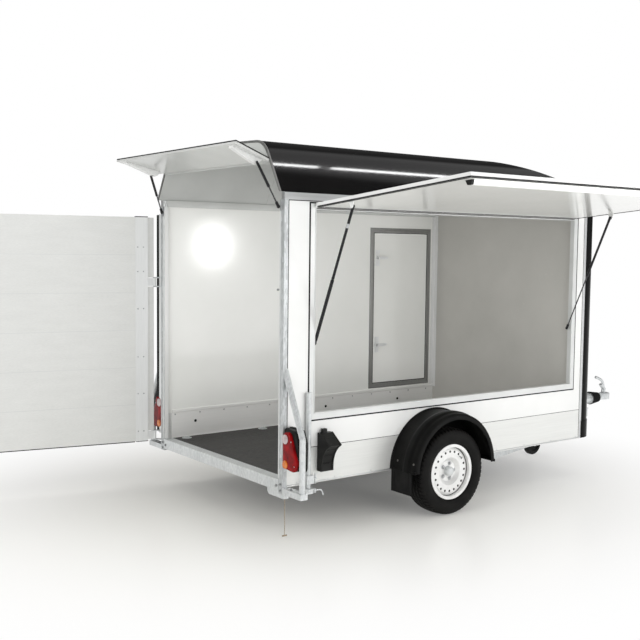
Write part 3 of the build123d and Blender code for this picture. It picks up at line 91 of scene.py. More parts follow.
def oval(width: float, height: float, turn: Array) -> Array:
    """Ellipse at the given angles, in metres, from its half width and half height in millimetres."""
    return np.stack([width * np.cos(turn), height * np.sin(turn)], 1) / MM


def rectangle(left: float, low: float, right: float, high: float) -> Array:
    """Corners of a rectangle, anticlockwise from the lower left."""
    return np.array([(left, low), (right, low), (right, high), (left, high)])


def new_object(name: str, data: bpy.types.ID) -> bpy.types.Object:
    """New object in the scene, at the origin."""
    made = bpy.data.objects.new(name, data)
    bpy.context.scene.collection.objects.link(made)
    return made


def stand(made: bpy.types.Object, right: Array, up: Array, back: Array, spot: Array) -> None:
    """Put a camera or a lamp at a spot, with its own axes along three directions."""
    turn = np.eye(4)
    turn[:3] = np.column_stack([right, up, back, spot])
    made.matrix_world = Matrix(turn.tolist())


class Pattern(Enum):
    """Kinds of surface grain that a finish can have."""

    MOTTLE = "soft clouds"
    BRUSHED = "fine streaks along one axis"
    SPANGLE = "zinc crystals"
    GRAIN = "moulded pebble grain"
    MESH = "pressed wire mesh"
    RIBS = "moulded lens ribs"


@dataclass(frozen=True)
class Finish:
    """One material: two tones mixed by a pattern, with roughness and bump from the same pattern.

    Args:
        name: Material name.
        low: Darker tone, linear colour.
        high: Lighter tone, linear colour.
        rough: Lowest and highest roughness.
        metallic: Metal share of the shader.
        pattern: Kind of grain.
        scale: Cells or clouds for each metre.
        stretch: Scale of the pattern along X, Y and Z.
        bump: Strength of the bump.
        depth: Height of the bump in metres.
        coat: Weight of the clear coat.
        glow: Strength of a lamp's own light.
        sheen: Specular level of the shader.
        bulge: Height of a soft swelling of the normals, its middle height and its half width, in metres.
    """

    name: str
    low: Colour
    high: Colour
    rough: tuple[float, float] = (0.3, 0.4)
    metallic: float = 0.0
    pattern: Pattern = Pattern.MOTTLE
    scale: float = 6.0
    stretch: tuple[float, float, float] = (1.0, 1.0, 1.0)
    bump: float = 0.1
    depth: float = 0.0004
    coat: float = 0.0
    glow: float = 0.0
    sheen: float = 0.5
    bulge: tuple[float, float, float] = (0.0, 0.0, 1.0)

    @lru_cache(maxsize=None)
    def material(self) -> bpy.types.Material:
        """Build the node material, once.

        Returns:
            Material whose tone, roughness and normal come from the pattern on object coordinates.
        """
        made = bpy.data.materials.new(self.name)
        made.use_nodes = True
        tree = made.node_tree
        shader = tree.nodes["Principled BSDF"]
        graph = Graph(tree)
        place = graph.add("ShaderNodeTexCoord").outputs["Object"]
        vector = graph.add("ShaderNodeMapping", Vector=place, Scale=self.stretch).outputs["Vector"]
        tone, wear, height = graph.grain(self.pattern, vector, self.scale)
        ramp = graph.add("ShaderNodeValToRGB", Fac=tone)
        for end, position, colour in zip(ramp.color_ramp.elements, RAMP_ENDS, (self.low, self.high)):
            end.position = position
            end.color = (*colour, 1)
        gloss = graph.add("ShaderNodeMapRange",
                          **{"Value": wear, "To Min": self.rough[0], "To Max": self.rough[1]})
        raised = graph.add("ShaderNodeBump", Height=height, Strength=self.bump, Distance=self.depth)
        swell, middle, half = self.bulge
        if swell:
            rise = graph.add("ShaderNodeSeparateXYZ", Vector=place).outputs["Z"]
            away = graph.math("SUBTRACT", rise, middle)
            dish = graph.math("POWER", graph.math("DIVIDE", away, half), 2.0)
            crown = graph.math("MULTIPLY", dish, -1.0)
            raised = graph.add("ShaderNodeBump", Height=crown, Strength=1.0, Distance=swell,
                               Normal=raised.outputs["Normal"])
        inputs = {"Base Color": ramp.outputs["Color"], "Roughness": gloss.outputs["Result"],
                  "Normal": raised.outputs["Normal"], "Coat Normal": raised.outputs["Normal"],
                  "Metallic": self.metallic, "Coat Weight": self.coat, "Coat Roughness": COAT_ROUGHNESS,
                  "Specular IOR Level": self.sheen}
        if self.glow:
            inputs |= {"Emission Color": (*self.high, 1), "Emission Strength": self.glow}
        for name, value in inputs.items():
            graph.feed(shader.inputs[name], value)
        return made


@dataclass
class Graph:
    """Short calls to add and join the nodes of one material.

    Args:
        tree: Node tree to fill.
    """

    tree: bpy.types.NodeTree

    def feed(self, inlet: Socket, value: Socket | float | tuple[float, ...]) -> None:
        """Join a socket to an input, or set the input to a constant.

        Args:
            inlet: Input of a node.
            value: Socket to join to it, or its value.
        """
        if isinstance(value, Socket):
            self.tree.links.new(value, inlet)
        else:
            inlet.default_value = value

    def add(self, kind: str, **values: Socket | float | tuple[float, ...]) -> bpy.types.Node:
        """Add a node.

        Args:
            kind: Node type.
            values: Input values by socket name, or sockets to join to them.

        Returns:
            The new node.
        """
        node = self.tree.nodes.new(kind)
        for name, value in values.items():
            self.feed(node.inputs[name], value)
        return node

    def noise(self, vector: Socket, scale: float, detail: float = 4.0) -> Socket:
        """Cloudy noise with so many clouds for each metre."""
        return self.add("ShaderNodeTexNoise", Vector=vector, Scale=scale, Detail=detail).outputs["Fac"]

    def math(self, work: str, first: Socket, second: float | Socket) -> Socket:
        """One sum of two values.

        Args:
            work: Operation of the math node.
            first: First value.
            second: Second value, or a constant.

        Returns:
            Result socket.
        """
        node = self.tree.nodes.new("ShaderNodeMath")
        node.operation = work
        self.feed(node.inputs[0], first)
        self.feed(node.inputs[1], second)
        return node.outputs[0]

    def step(self, value: Socket, span: tuple[float, float], ends: tuple[float, float]) -> Socket:
        """Soft step of a value over a span, between two end values."""
        node = self.add("ShaderNodeMapRange", **{"Value": value, "From Min": span[0], "From Max": span[1],
                                                 "To Min": ends[0], "To Max": ends[1]})
        node.interpolation_type = "SMOOTHSTEP"
        return node.outputs["Result"]

    def blend(self, share: Socket, first: float | Socket,
              second: float | Socket) -> Socket:
        """Mix of two values.

        Args:
            share: Socket of the second value's share.
            first: Value at no share.
            second: Value at full share.

        Returns:
            Result socket.
        """
        node = self.tree.nodes.new("ShaderNodeMix")
        for name, value in (("Factor", share), ("A", first), ("B", second)):
            self.feed(node.inputs[name], value)
        return node.outputs["Result"]

    def grain(self, pattern: Pattern, vector: Socket, scale: float) -> tuple[Socket, ...]:
        """Tone, wear and height of one pattern.

        Args:
            pattern: Kind of grain.
            vector: Coordinates that it reads.
            scale: Cells or clouds for each metre.

        Returns:
            Sockets for tone, roughness share and bump height.
        """
        cloud = self.noise(vector, scale)
        if pattern is Pattern.SPANGLE:
            cells = self.add("ShaderNodeTexVoronoi", Vector=vector, Scale=scale * 9)
            flake = self.add("ShaderNodeSeparateColor", Color=cells.outputs["Color"]).outputs["Red"]
            tone = self.math("ADD", self.math("MULTIPLY", flake, 0.45), self.math("MULTIPLY", cloud, 0.55))
            return tone, flake, self.noise(vector, scale * 30)
        if pattern is Pattern.BRUSHED:
            streak = self.noise(vector, scale * 12, 6.0)
            tone = self.math("ADD", self.math("MULTIPLY", streak, 0.6), self.math("MULTIPLY", cloud, 0.4))
            return tone, streak, streak
        if pattern is Pattern.GRAIN:
            cells = self.add("ShaderNodeTexVoronoi", Vector=vector, Scale=scale * 90)
            return cloud, self.noise(vector, scale * 8), cells.outputs["Distance"]
        if pattern in (Pattern.MESH, Pattern.RIBS):
            lines = self.add("ShaderNodeTexWave", Vector=vector, Scale=40.0)
            lines.bands_direction = "DIAGONAL" if pattern is Pattern.MESH else "Z"
            return cloud, self.noise(vector, scale * 10), lines.outputs["Fac"]
        return cloud, self.noise(vector, scale * 14), self.noise(vector, scale * 60)


WALL_WHITE = Finish("wall_white_skin", (0.73, 0.735, 0.72), (0.80, 0.80, 0.79), (0.11, 0.16), scale=2.2,
                    bump=0.05, depth=0.0003)
LINING_GREY = Finish("roof_lining_grey", (0.57, 0.58, 0.56), (0.65, 0.66, 0.64), (0.3, 0.42), scale=3.0,
                     bump=0.1)
ROOF_BLACK = Finish("roof_black_gel_coat", (0.0030, 0.0030, 0.0032), (0.006, 0.0055, 0.0055), (0.05, 0.10),
                    scale=1.6, bump=0.04, depth=0.0008, coat=0.6, bulge=(0.0117, 1.924, 0.166))
ALUMINIUM_X = Finish("aluminium_lengthwise", (0.62, 0.63, 0.63), (0.76, 0.77, 0.77), (0.30, 0.46), 0.9,
                     Pattern.BRUSHED, 5.0, (0.12, 6.0, 6.0), 0.06)
ALUMINIUM_Z = Finish("aluminium_upright", (0.74, 0.75, 0.745), (0.84, 0.85, 0.845), (0.28, 0.44), 0.4,
                     Pattern.BRUSHED, 5.0, (6.0, 6.0, 0.12), 0.06)
PLANK_ALUMINIUM = Finish("plank_anodised", (0.70, 0.705, 0.685), (0.78, 0.785, 0.765), (0.36, 0.5), 0.4,
                         Pattern.BRUSHED, 4.0, (0.1, 5.0, 5.0), 0.05)
ZINC = Finish("galvanised_zinc", (0.59, 0.61, 0.615), (0.74, 0.76, 0.76), (0.32, 0.5), 0.55, Pattern.SPANGLE,
              13.0, (1, 1, 0.4), 0.1)
FLOOR_PLY = Finish("film_plywood", (0.008, 0.0072, 0.0065), (0.022, 0.020, 0.018), (0.34, 0.55), 0.0,
                   Pattern.MESH, 5.0, (0.5, 2.2, 1.0), 0.25, 0.0006, sheen=0.2)
BLACK_PLASTIC = Finish("moulded_black_plastic", (0.007, 0.007, 0.007), (0.016, 0.016, 0.015), (0.38, 0.55),
                       0.0, Pattern.GRAIN, 9.0, bump=0.15, sheen=0.2)
BLACK_RUBBER = Finish("black_rubber", (0.008, 0.008, 0.008), (0.018, 0.018, 0.018), (0.5, 0.7), scale=14.0,
                      bump=0.2, sheen=0.12)
TYRE_RUBBER = Finish("tyre_rubber", (0.004, 0.004, 0.004), (0.009, 0.0085, 0.008), (0.48, 0.68), scale=12.0,
                     bump=0.2, sheen=0.12)
WHEEL_SILVER = Finish("wheel_silver_paint", (0.74, 0.74, 0.73), (0.84, 0.84, 0.83), (0.24, 0.36), 0.4,
                      scale=18.0, bump=0.06)
CAST_IRON = Finish("drum_cast_iron", (0.10, 0.10, 0.10), (0.20, 0.19, 0.18), (0.5, 0.75), 0.7, Pattern.GRAIN,
                   10.0, bump=0.3)
BOLT_STEEL = Finish("bright_bolt_steel", (0.40, 0.41, 0.42), (0.66, 0.67, 0.68), (0.2, 0.36), 0.95,
                    Pattern.BRUSHED, 30.0, bump=0.1)
LENS_RED = Finish("lamp_lens_red", (0.10, 0.001, 0.002), (0.32, 0.002, 0.004), (0.06, 0.14), 0.0,
                  Pattern.RIBS, 24.0, bump=0.3, coat=0.05, sheen=0.12)
LENS_AMBER = Finish("lamp_lens_amber", (0.50, 0.12, 0.006), (0.72, 0.20, 0.010), (0.08, 0.16), 0.0,
                    Pattern.RIBS, 30.0, bump=0.3, coat=0.8)
LENS_CLEAR = Finish("lamp_lens_clear", (0.36, 0.27, 0.27), (0.60, 0.52, 0.52), (0.06, 0.16), 0.0,
                    Pattern.RIBS, 30.0, bump=0.3, coat=0.8)
LIGHT_DIFFUSER = Finish("light_bar_diffuser", (0.80, 0.80, 0.79), (0.88, 0.88, 0.87), (0.2, 0.3), scale=8.0,
                        bump=0.03, glow=0.35)
STRUT_BLACK = Finish("strut_black_paint", (0.008, 0.008, 0.009), (0.016, 0.016, 0.017), (0.22, 0.36),
                     scale=20.0, bump=0.04, sheen=0.25)
STRUT_ROD = Finish("strut_dark_rod", (0.06, 0.06, 0.065), (0.12, 0.12, 0.125), (0.14, 0.24), 0.9,
                   Pattern.BRUSHED, 20.0, bump=0.03)
CORD_FIBRE = Finish("cord_jute_fibre", (0.20, 0.15, 0.10), (0.42, 0.34, 0.24), (0.7, 0.9), scale=90.0,
                    bump=0.6, depth=0.001)
TRIM_GREY = Finish("trim_pale_grey", (0.62, 0.63, 0.62), (0.70, 0.71, 0.70), (0.3, 0.42), 0.2, scale=5.0,
                   bump=0.06)
FRAME_GREY = Finish("frame_matt_aluminium", (0.30, 0.30, 0.29), (0.40, 0.40, 0.39), (0.34, 0.5), 0.7,
                    Pattern.BRUSHED, 5.0, (6, 6, 0.12), 0.06)
FENDER_BLACK = Finish("fender_black_plastic", (0.003, 0.003, 0.003), (0.007, 0.007, 0.0065), (0.34, 0.5), 0.0,
                      Pattern.GRAIN, 8.0, bump=0.12, sheen=0.1)
NOSE_BLACK = Finish("nose_black_gel_coat", (0.003, 0.003, 0.003), (0.006, 0.006, 0.0055), (0.2, 0.3),
                    scale=1.6, bump=0.04, depth=0.0008, sheen=0.06)
POST_ZINC = Finish("post_zinc", (0.42, 0.435, 0.44), (0.62, 0.64, 0.645), (0.3, 0.48), 0.55, Pattern.SPANGLE,
                   11.0, (1, 1, 0.3), 0.1)
# painted light: a brighter copy of the white skin, for the left wall, the small door and the sales flap's
# underside, standing in for light that reaches the inside of the box and the flap's underside
WHITE_PAINTED_LIGHT = Finish("white_skin_painted_light", (0.86, 0.865, 0.83), (0.91, 0.91, 0.88), (0.11, 0.16), scale=2.2,
                    bump=0.05, depth=0.0003)
# painted shade: the white skin darkened for the rear flap, whose underside lies in shade
REAR_FLAP_SHADE = Finish("rear_flap_white_painted_shade", (0.56, 0.57, 0.55), (0.63, 0.64, 0.62), (0.14, 0.22), scale=2.2,
                   bump=0.05, depth=0.0003)
KICK_ALUMINIUM = Finish("kick_plate_skin", (0.86, 0.855, 0.83), (0.93, 0.925, 0.90), (0.3, 0.42), 0.15,
                        Pattern.BRUSHED, 4.0, (0.1, 5.0, 5.0), 0.05)
# painted shade: the white wall skin darkened for the front wall, which stands in shade
WALL_SHADE = Finish("wall_white_painted_shade", (0.53, 0.52, 0.485), (0.60, 0.585, 0.55), (0.2, 0.3), scale=2.2,
                    bump=0.05, depth=0.0003)

NODE_FINISHES: dict[Finish, tuple[str, ...]] = {
    WALL_SHADE: ("wall_front",),
    WALL_WHITE: ("side_flap_frame", "side_flap_panel", "wall_right", "rear_flap_sides"),
    WHITE_PAINTED_LIGHT: ("wall_left", "pass_door_leaf"),
    REAR_FLAP_SHADE: ("rear_flap_panel",),
    KICK_ALUMINIUM: ("kick_plates",),
    TRIM_GREY: ("hatch_frame",),
    LINING_GREY: ("roof_arch",),
    ROOF_BLACK: ("roof",),
    NOSE_BLACK: ("nose",),
    ALUMINIUM_X: ("edge_profiles",),
    ALUMINIUM_Z: ("rear_door_frame", "pass_door_latches"),
    FRAME_GREY: ("pass_door_frame",),
    PLANK_ALUMINIUM: ("side_planks", "rear_door_panel"),
    POST_ZINC: ("rear_posts",),
    ZINC: ("rear_sill", "chassis_rails", "cross_members", "axle", "drawbar", "overrun_housing",
           "coupling_head", "handbrake_lever", "jockey_post", "jockey_fork", "lamp_brackets", "prop_stands"),
    BOLT_STEEL: ("rear_door_lock",),
    FLOOR_PLY: ("floor",),
    BLACK_PLASTIC: ("fenders", "wheel_chock", "side_flap_lock"),
    BLACK_RUBBER: ("bellows", "mudflaps", "jockey_wheel"),
    TYRE_RUBBER: ("tyre_left", "tyre_right"),
    WHEEL_SILVER: ("rim_left", "rim_right"),
    CAST_IRON: ("drum_left", "drum_right"),
    LENS_RED: ("tail_lamps",),
    LIGHT_DIFFUSER: ("side_flap_light",),
    STRUT_BLACK: ("side_strut_barrels", "rear_strut_barrels"),
    STRUT_ROD: ("side_strut_rods", "rear_strut_rod_left", "rear_strut_rod_right"),
    CORD_FIBRE: ("pull_cord", "cord_toggle"),
}


@dataclass
class Surface:
    """Points and faces of a piece before it becomes an object.

    Args:
        points: Positions in metres, one row each.
        faces: Corner indices of each face.
    """

    points: Array
    faces: list[list[int]]

    @classmethod
    def grid(cls, points: Array, wrap_rows: bool = False, wrap_columns: bool = False) -> "Surface":
        """Quads between neighbours of a grid of points.

        Args:
            points: Array of rows by columns by three.
            wrap_rows: Join the last row to the first.
            wrap_columns: Join the last column to the first.

        Returns:
            The sheet.
        """
        rows, columns = points.shape[:2]
        index = np.arange(rows * columns).reshape(rows, columns)
        if wrap_rows:
            index = np.vstack([index, index[:1]])
        if wrap_columns:
            index = np.hstack([index, index[:, :1]])
        quads = np.stack([index[:-1, :-1], index[1:, :-1], index[1:, 1:], index[:-1, 1:]], -1)
        return cls(points.reshape(-1, 3), quads.reshape(-1, 4).tolist())

    @classmethod
    def loft(cls, rings: Array) -> "Surface":
        """Closed body through a stack of closed rings, with its two end rings filled.

        Args:
            rings: Array of rings by points by three.

        Returns:
            The body.
        """
        body = cls.grid(rings, wrap_columns=True)
        count = rings.shape[1]
        last = (rings.shape[0] - 1) * count
        body.faces += [list(range(count)), list(range(last, last + count))]
        return body

    @classmethod
    def prism(cls, outline: Array, origin: Array, along_u: Array, along_v: Array, depth: Array,
              edge: float = 0.0) -> "Surface":
        """Flat outline carried along a straight depth, with its rims drawn in by a small edge.

        Args:
            outline: Closed outline in two measures, in metres.
            origin: Where the outline's zero lies.
            along_u: Direction of the first measure.
            along_v: Direction of the second measure.
            depth: Vector from the first face to the last.
            edge: Width of the softened rim.

        Returns:
            The body: four rings, the outer two scaled about the middle by the edge.
        """
        middle = outline.mean(0)
        reach = np.abs(outline - middle).max(0)
        small = middle + (outline - middle) * (1 - edge / np.maximum(reach, MERGE))
        length = np.linalg.norm(depth)
        steps = np.array([0.0, edge, length - edge, length]) / length
        flat = np.stack([small, outline, outline, small])
        rings = origin + flat[..., :1] * along_u + flat[..., 1:] * along_v + steps[:, None, None] * depth
        return cls.loft(rings)

    @classmethod
    def lathe(cls, profile: Array, centre: Array, axis: Array, steps: int) -> "Surface":
        """Profile of distance along an axis and radius, turned about the axis.

        Args:
            profile: Rows of distance and radius in metres, from axis to axis or as a closed ring.
            centre: Point on the axis.
            axis: Unit direction.
            steps: Number of steps round.

        Returns:
            The turned body: centre + distance * axis + radius * (cos a * side + sin a * up).
        """
        side = unit(np.cross(axis, Z if abs(axis[2]) < UPRIGHT else X))
        up = np.cross(axis, side)
        angle = angles(steps)[None, :, None]
        spoke = np.cos(angle) * side + np.sin(angle) * up
        points = centre + profile[:, :1, None] * axis + profile[:, 1:, None] * spoke
        ring = bool(profile[0, 1] and profile[-1, 1])
        return cls.grid(points, wrap_rows=ring, wrap_columns=True)

    @classmethod
    def sweep(cls, profile: Array, path: Array, up: Array) -> "Surface":
        """Closed profile carried along a path, with both ends filled.

        Args:
            profile: Rows of sideways and upward measures in metres.
            path: Points of the path.
            up: Direction that the profile's second measure keeps to.

        Returns:
            The body: at each path point, side = tangent x up and lift = side x tangent.
        """
        tangent = np.gradient(path, axis=0)
        tangent /= np.linalg.norm(tangent, axis=1, keepdims=True)
        side = np.cross(tangent, up)
        side /= np.linalg.norm(side, axis=1, keepdims=True)
        lift = np.cross(side, tangent)
        rings = path[:, None] + profile[None, :, :1] * side[:, None] + profile[None, :, 1:] * lift[:, None]
        return cls.loft(rings)

    @classmethod
    def slab(cls, low: tuple[float, ...], high: tuple[float, ...], edge: float) -> "Surface":
        """Plate between two corners, with softened rims on its two broad faces.

        Args:
            low: One corner in millimetres.
            high: Opposite corner.
            edge: Width of the softened rim in millimetres.

        Returns:
            A rectangle of the two longer measures carried along the shortest one.
        """
        near, far = lay(*np.minimum(low, high)), lay(*np.maximum(low, high))
        size = far - near
        thin = int(np.argmin(size))
        u, v = (axis for axis in range(3) if axis != thin)
        outline = rectangle(0, 0, size[u], size[v])
        axes = np.eye(3)
        return cls.prism(outline, near, axes[u], axes[v], size[thin] * axes[thin],
                         min(edge / MM, RIM_SHARE * size[thin]))

    @classmethod
    def band(cls, corners: Array, profile: Array, origin: Array, along_u: Array, along_v: Array,
             normal: Array) -> "Surface":
        """Closed strip along a polygon, with mitred corners.

        Args:
            corners: Corners in millimetres, anticlockwise.
            profile: Closed profile of outward and upward measures in millimetres.
            origin: Where the corners' zero lies.
            along_u: Direction of the corners' first measure.
            along_v: Direction of the corners' second measure.
            normal: Direction of the profile's second measure.

        Returns:
            The strip: each corner moves out along (n1 + n2) / (1 + n1 . n2), from its two sides' normals.
        """
        after = np.roll(corners, -1, 0) - corners
        after /= np.linalg.norm(after, axis=1, keepdims=True)
        out = after[:, ::-1] * (1, -1)
        before = np.roll(out, 1, 0)
        mitre = (out + before) / (1 + (out * before).sum(1, keepdims=True))
        flat = corners[:, None] + profile[None, :, :1] * mitre[:, None]
        across = flat[..., :1] * along_u + flat[..., 1:] * along_v
        points = origin + (across + profile[None, :, 1:] * normal) / MM
        return cls.grid(points, wrap_rows=True, wrap_columns=True)

    def copies(self, offsets: Array) -> "Surface":
        """The same shape at several offsets."""
        return Surface.joined([Surface(self.points + offset, self.faces)
                               for offset in np.asarray(offsets, float)])

    def mirrored(self) -> "Surface":
        """The shape on the other side of the centre plane."""
        return Surface(self.points * MIRROR, self.faces)

    def both(self) -> "Surface":
        """The shape and its mirror image."""
        return Surface.joined([self, self.mirrored()])

    @staticmethod
    def joined(parts: list["Surface"]) -> "Surface":
        """Several shapes as one.

        Args:
            parts: Shapes to put together.

        Returns:
            One shape with all their points and faces.
        """
        faces: list[list[int]] = []
        start = 0
        for part in parts:
            faces += [[index + start for index in face] for face in part.faces]
            start += len(part.points)
        return Surface(np.vstack([part.points for part in parts]), faces)

    def piece(self, name: str, finish: Finish, body: str, slot: str, sharp: float = 38.0) -> bpy.types.Object:
        """Make the object, face it outwards, finish it and let it ride.

        Args:
            name: Object name.
            finish: Material.
            body: Body that it moves with.
            slot: Material slot of the record; not used.
            sharp: Edges above this angle, in degrees, stay sharp.

        Returns:
            The new object at the origin.
        """
        mesh = bpy.data.meshes.new(name)
        mesh.from_pydata(self.points.tolist(), [], self.faces)
        work = bmesh.new()
        work.from_mesh(mesh)
        bmesh.ops.remove_doubles(work, verts=work.verts, dist=MERGE)
        bmesh.ops.recalc_face_normals(work, faces=work.faces)
        work.to_mesh(mesh)
        work.free()
        mesh.shade_smooth()
        mesh.set_sharp_from_angle(angle=math.radians(sharp))
        mesh.materials.append(finish.material())
        made = new_object(name, mesh)
        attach(made, body)
        LOG.info("%s: %d faces on %s", name, len(mesh.polygons), body)
        return made


def rounded_outline(corners: Array, radius: float, count: int = 96) -> Array:
    """Closed outline with soft corners.

    Args:
        corners: Corner points in order.
        radius: About half the width of the rounding.
        count: Number of points on the outline.

    Returns:
        Even samples of the polygon, each the mean of its neighbours over the rounding's width.
    """
    closed = np.vstack([corners, corners[:1]])
    marks = np.concatenate([[0.0], np.cumsum(np.linalg.norm(np.diff(closed, axis=0), axis=1))])
    stops = np.linspace(0, marks[-1], count, endpoint=False)
    points = np.stack([np.interp(stops, marks, column) for column in closed.T], 1)
    width = max(1, round(radius / marks[-1] * count))
    kernel = np.ones(2 * width + 1) / (2 * width + 1)
    wrapped = np.vstack([points[-width:], points, points[:width]])
    return np.stack([np.convolve(column, kernel, "valid") for column in wrapped.T], 1)


def hex_bolt(centre: Array, axis: Array, across: float) -> Surface:
    """Hexagon bolt head on its washer.

    Args:
        centre: Point on the face that it clamps.
        axis: Direction out of that face.
        across: Width of the hexagon in metres.

    Returns:
        Washer and chamfered head, both turned about the axis.
    """
    r = across / 2
    washer = np.array([(0, 0), (0, 1.75 * r), (0.25 * r, 1.85 * r), (0.35 * r, 1.7 * r), (0.35 * r, 0)])
    head = np.array([(0.3 * r, 0), (0.3 * r, 1.15 * r), (1.2 * r, 1.15 * r), (1.4 * r, 0.9 * r),
                     (1.4 * r, 0)])
    return Surface.joined([Surface.lathe(washer, centre, axis, 20), Surface.lathe(head, centre, axis, 6)])


def rivet(centre: Array, axis: Array, radius: float) -> Surface:
    """Low dome with a small dimple, turned about the axis that leaves the face."""
    share = np.array([(0, 0), (0, 1), (0.2, 0.96), (0.38, 0.7), (0.45, 0.35), (0.34, 0.28), (0.32, 0)])
    return Surface.lathe(share * radius, centre, axis, 14)


class LampShape(Enum):
    """Outlines of the studio's lamps."""

    SQUARE = "SQUARE"
    ROUND = "ELLIPSE"
    OBLONG = "RECTANGLE"


@dataclass
class Studio:
    """Pale floor, soft light and the camera of the photograph.

    Args:
        eye: Camera position.
        yaw: Heading of the view from forward to the left, in degrees.
        pitch: Degrees below the horizon.
        roll: Degrees of roll.
        lens: Focal length in millimetres.
        frame: Width of the camera's frame in millimetres.
        floor_reach: Distance from the floor's middle to its edges.
        floor_z: Height of the floor.
        floor_tones: Darker and lighter tone of the floor.
        fade_shift: Mapping that brings the shadow's middle to zero.
        fade_scale: Scale of the fade along X, Y and Z.
        fade_span: Distances where the fade to white starts and ends.
        fade_share: Share of white glow at both ends of the fade, painted light that lightens the floor round
            the shadow.
    """

    eye: tuple[float, float, float] = (-7.7856, -5.8099, 1.3999)
    yaw: float = 53.444
    pitch: float = 4.213
    roll: float = 0.636
    lens: float = 53.93
    frame: float = 36.0
    floor_reach: float = 60.0
    floor_z: float = -0.4502
    floor_tones: tuple[Colour, Colour] = ((0.86, 0.845, 0.78), (0.91, 0.90, 0.85))
    fade_shift: tuple[float, float, float] = (2.754, -0.15, 0.0)
    fade_scale: tuple[float, float, float] = (0.8, 1.0, 1.0)
    fade_span: tuple[float, float] = (0.7, 3.2)
    fade_share: tuple[float, float] = (0.09, 1.0)

    def camera(self) -> None:
        """Place the camera: right, up and back axes from yaw, pitch and roll."""
        yaw, pitch, roll = (math.radians(value) for value in (self.yaw, self.pitch, self.roll))
        ahead = np.array([math.cos(pitch) * math.cos(yaw), math.cos(pitch) * math.sin(yaw), -math.sin(pitch)])
        flat = np.array([math.sin(yaw), -math.cos(yaw), 0])
        lift = np.cross(flat, ahead)
        right = math.cos(roll) * flat + math.sin(roll) * lift
        up = math.cos(roll) * lift - math.sin(roll) * flat
        data = bpy.data.cameras.new("camera")
        data.lens = self.lens
        data.sensor_width = self.frame
        data.clip_end = 200
        made = new_object("camera", data)
        stand(made, right, up, -ahead, self.eye)
        bpy.context.scene.camera = made

    def floor(self) -> None:
        """Wide pale floor that keeps the shadow and turns to the white of the background far out; its white
        glow grows from the shadow's middle outwards, painted light that lightens the floor round the trailer.
        """
        mesh = bpy.data.meshes.new("studio_floor")
        size = self.floor_reach
        corners = [(x, y, self.floor_z) for x, y in rectangle(-size, -size, size, size)]
        mesh.from_pydata(corners, [], [[0, 1, 2, 3]])
        made = bpy.data.materials.new("studio_floor")
        made.use_nodes = True
        tree = made.node_tree
        graph = Graph(tree)
        shader = tree.nodes["Principled BSDF"]
        place = graph.add("ShaderNodeTexCoord").outputs["Object"]
        centred = graph.add("ShaderNodeMapping", Vector=place, Location=self.fade_shift,
                            Scale=self.fade_scale)
        cloud = graph.add("ShaderNodeValToRGB", Fac=graph.noise(place, 0.5))
        for end, tone in zip(cloud.color_ramp.elements, self.floor_tones):
            end.color = (*tone, 1)
        graph.feed(shader.inputs["Base Color"], cloud.outputs["Color"])
        graph.feed(shader.inputs["Roughness"], 0.28)
        reach = graph.add("ShaderNodeVectorMath", Vector=centred.outputs["Vector"])
        reach.operation = "LENGTH"
        fade = graph.step(reach.outputs["Value"], self.fade_span, self.fade_share)
        # painted light: white glow on the floor, weak near the shadow's middle and full far out
        white = graph.add("ShaderNodeEmission", Color=(1, 1, 1, 1), Strength=1.0)
        mixed = graph.add("ShaderNodeMixShader", Fac=fade)
        tree.links.new(shader.outputs["BSDF"], mixed.inputs[1])
        tree.links.new(white.outputs["Emission"], mixed.inputs[2])
        tree.links.new(mixed.outputs["Shader"], tree.nodes["Material Output"].inputs["Surface"])
        mesh.materials.append(made)
        ground_piece = new_object("studio_floor", mesh)

    def world(self) -> None:
        """White background for the eye, a soft sky for shading, and bright and dark boards in the gloss.

        On the right the gloss sees a bright horizon under a dark dome, and on the left a dark horizon under
        a dome that is bright near the middle.
        """
        made = bpy.data.worlds.new("studio")
        bpy.context.scene.world = made
        made.use_nodes = True
        tree = made.node_tree
        graph = Graph(tree)
        ways = graph.add("ShaderNodeLightPath")
        seen = graph.math("MAXIMUM", ways.outputs["Is Camera Ray"], ways.outputs["Is Transmission Ray"])
        aim = graph.add("ShaderNodeTexCoord").outputs["Generated"]
        split = graph.add("ShaderNodeSeparateXYZ", Vector=aim)
        dome, centre, border = (0.30, 0.60), (-0.05, 0.25), (-0.42, -0.36)
        dark, soft, white = 0.05, 0.58, 1.0
        right = graph.step(split.outputs["Z"], dome, (0.54, 0.06))
        middle = graph.step(split.outputs["Y"], centre, (0.40, dark))
        left = graph.blend(graph.step(split.outputs["Z"], dome, (0.0, 1.0)), dark, middle)
        boards = graph.blend(graph.step(split.outputs["Y"], border, (0.0, 1.0)), right, left)
        gloss = graph.blend(ways.outputs["Is Glossy Ray"], soft, boards)
        strength = graph.blend(seen, gloss, white)
        back = tree.nodes["Background"]
        back.inputs["Color"].default_value = (1, 1, 1, 1)
        tree.links.new(strength, back.inputs["Strength"])

    def lamp(self, name: str, spot: Array, target: Array, size: float, power: float,
             shape: LampShape = LampShape.SQUARE, height: float = 0.0, mirrored: bool = True) -> None:
        """Soft lamp that looks at a point.

        Args:
            name: Lamp name.
            spot: Where it stands.
            target: Point that it faces.
            size: Width in metres.
            power: Watts.
            shape: Outline of the lamp.
            height: Height of an oblong lamp in metres.
            mirrored: Whether gloss shows the lamp.
        """
        data = bpy.data.lights.new(name, "AREA")
        data.shape = shape.value
        data.size = size
        data.size_y = height or size
        data.energy = power
        made = new_object(name, data)
        made.visible_glossy = mirrored
        back = unit(spot - target)
        side = unit(np.cross(Z, back))
        stand(made, side, np.cross(back, side), back, spot)

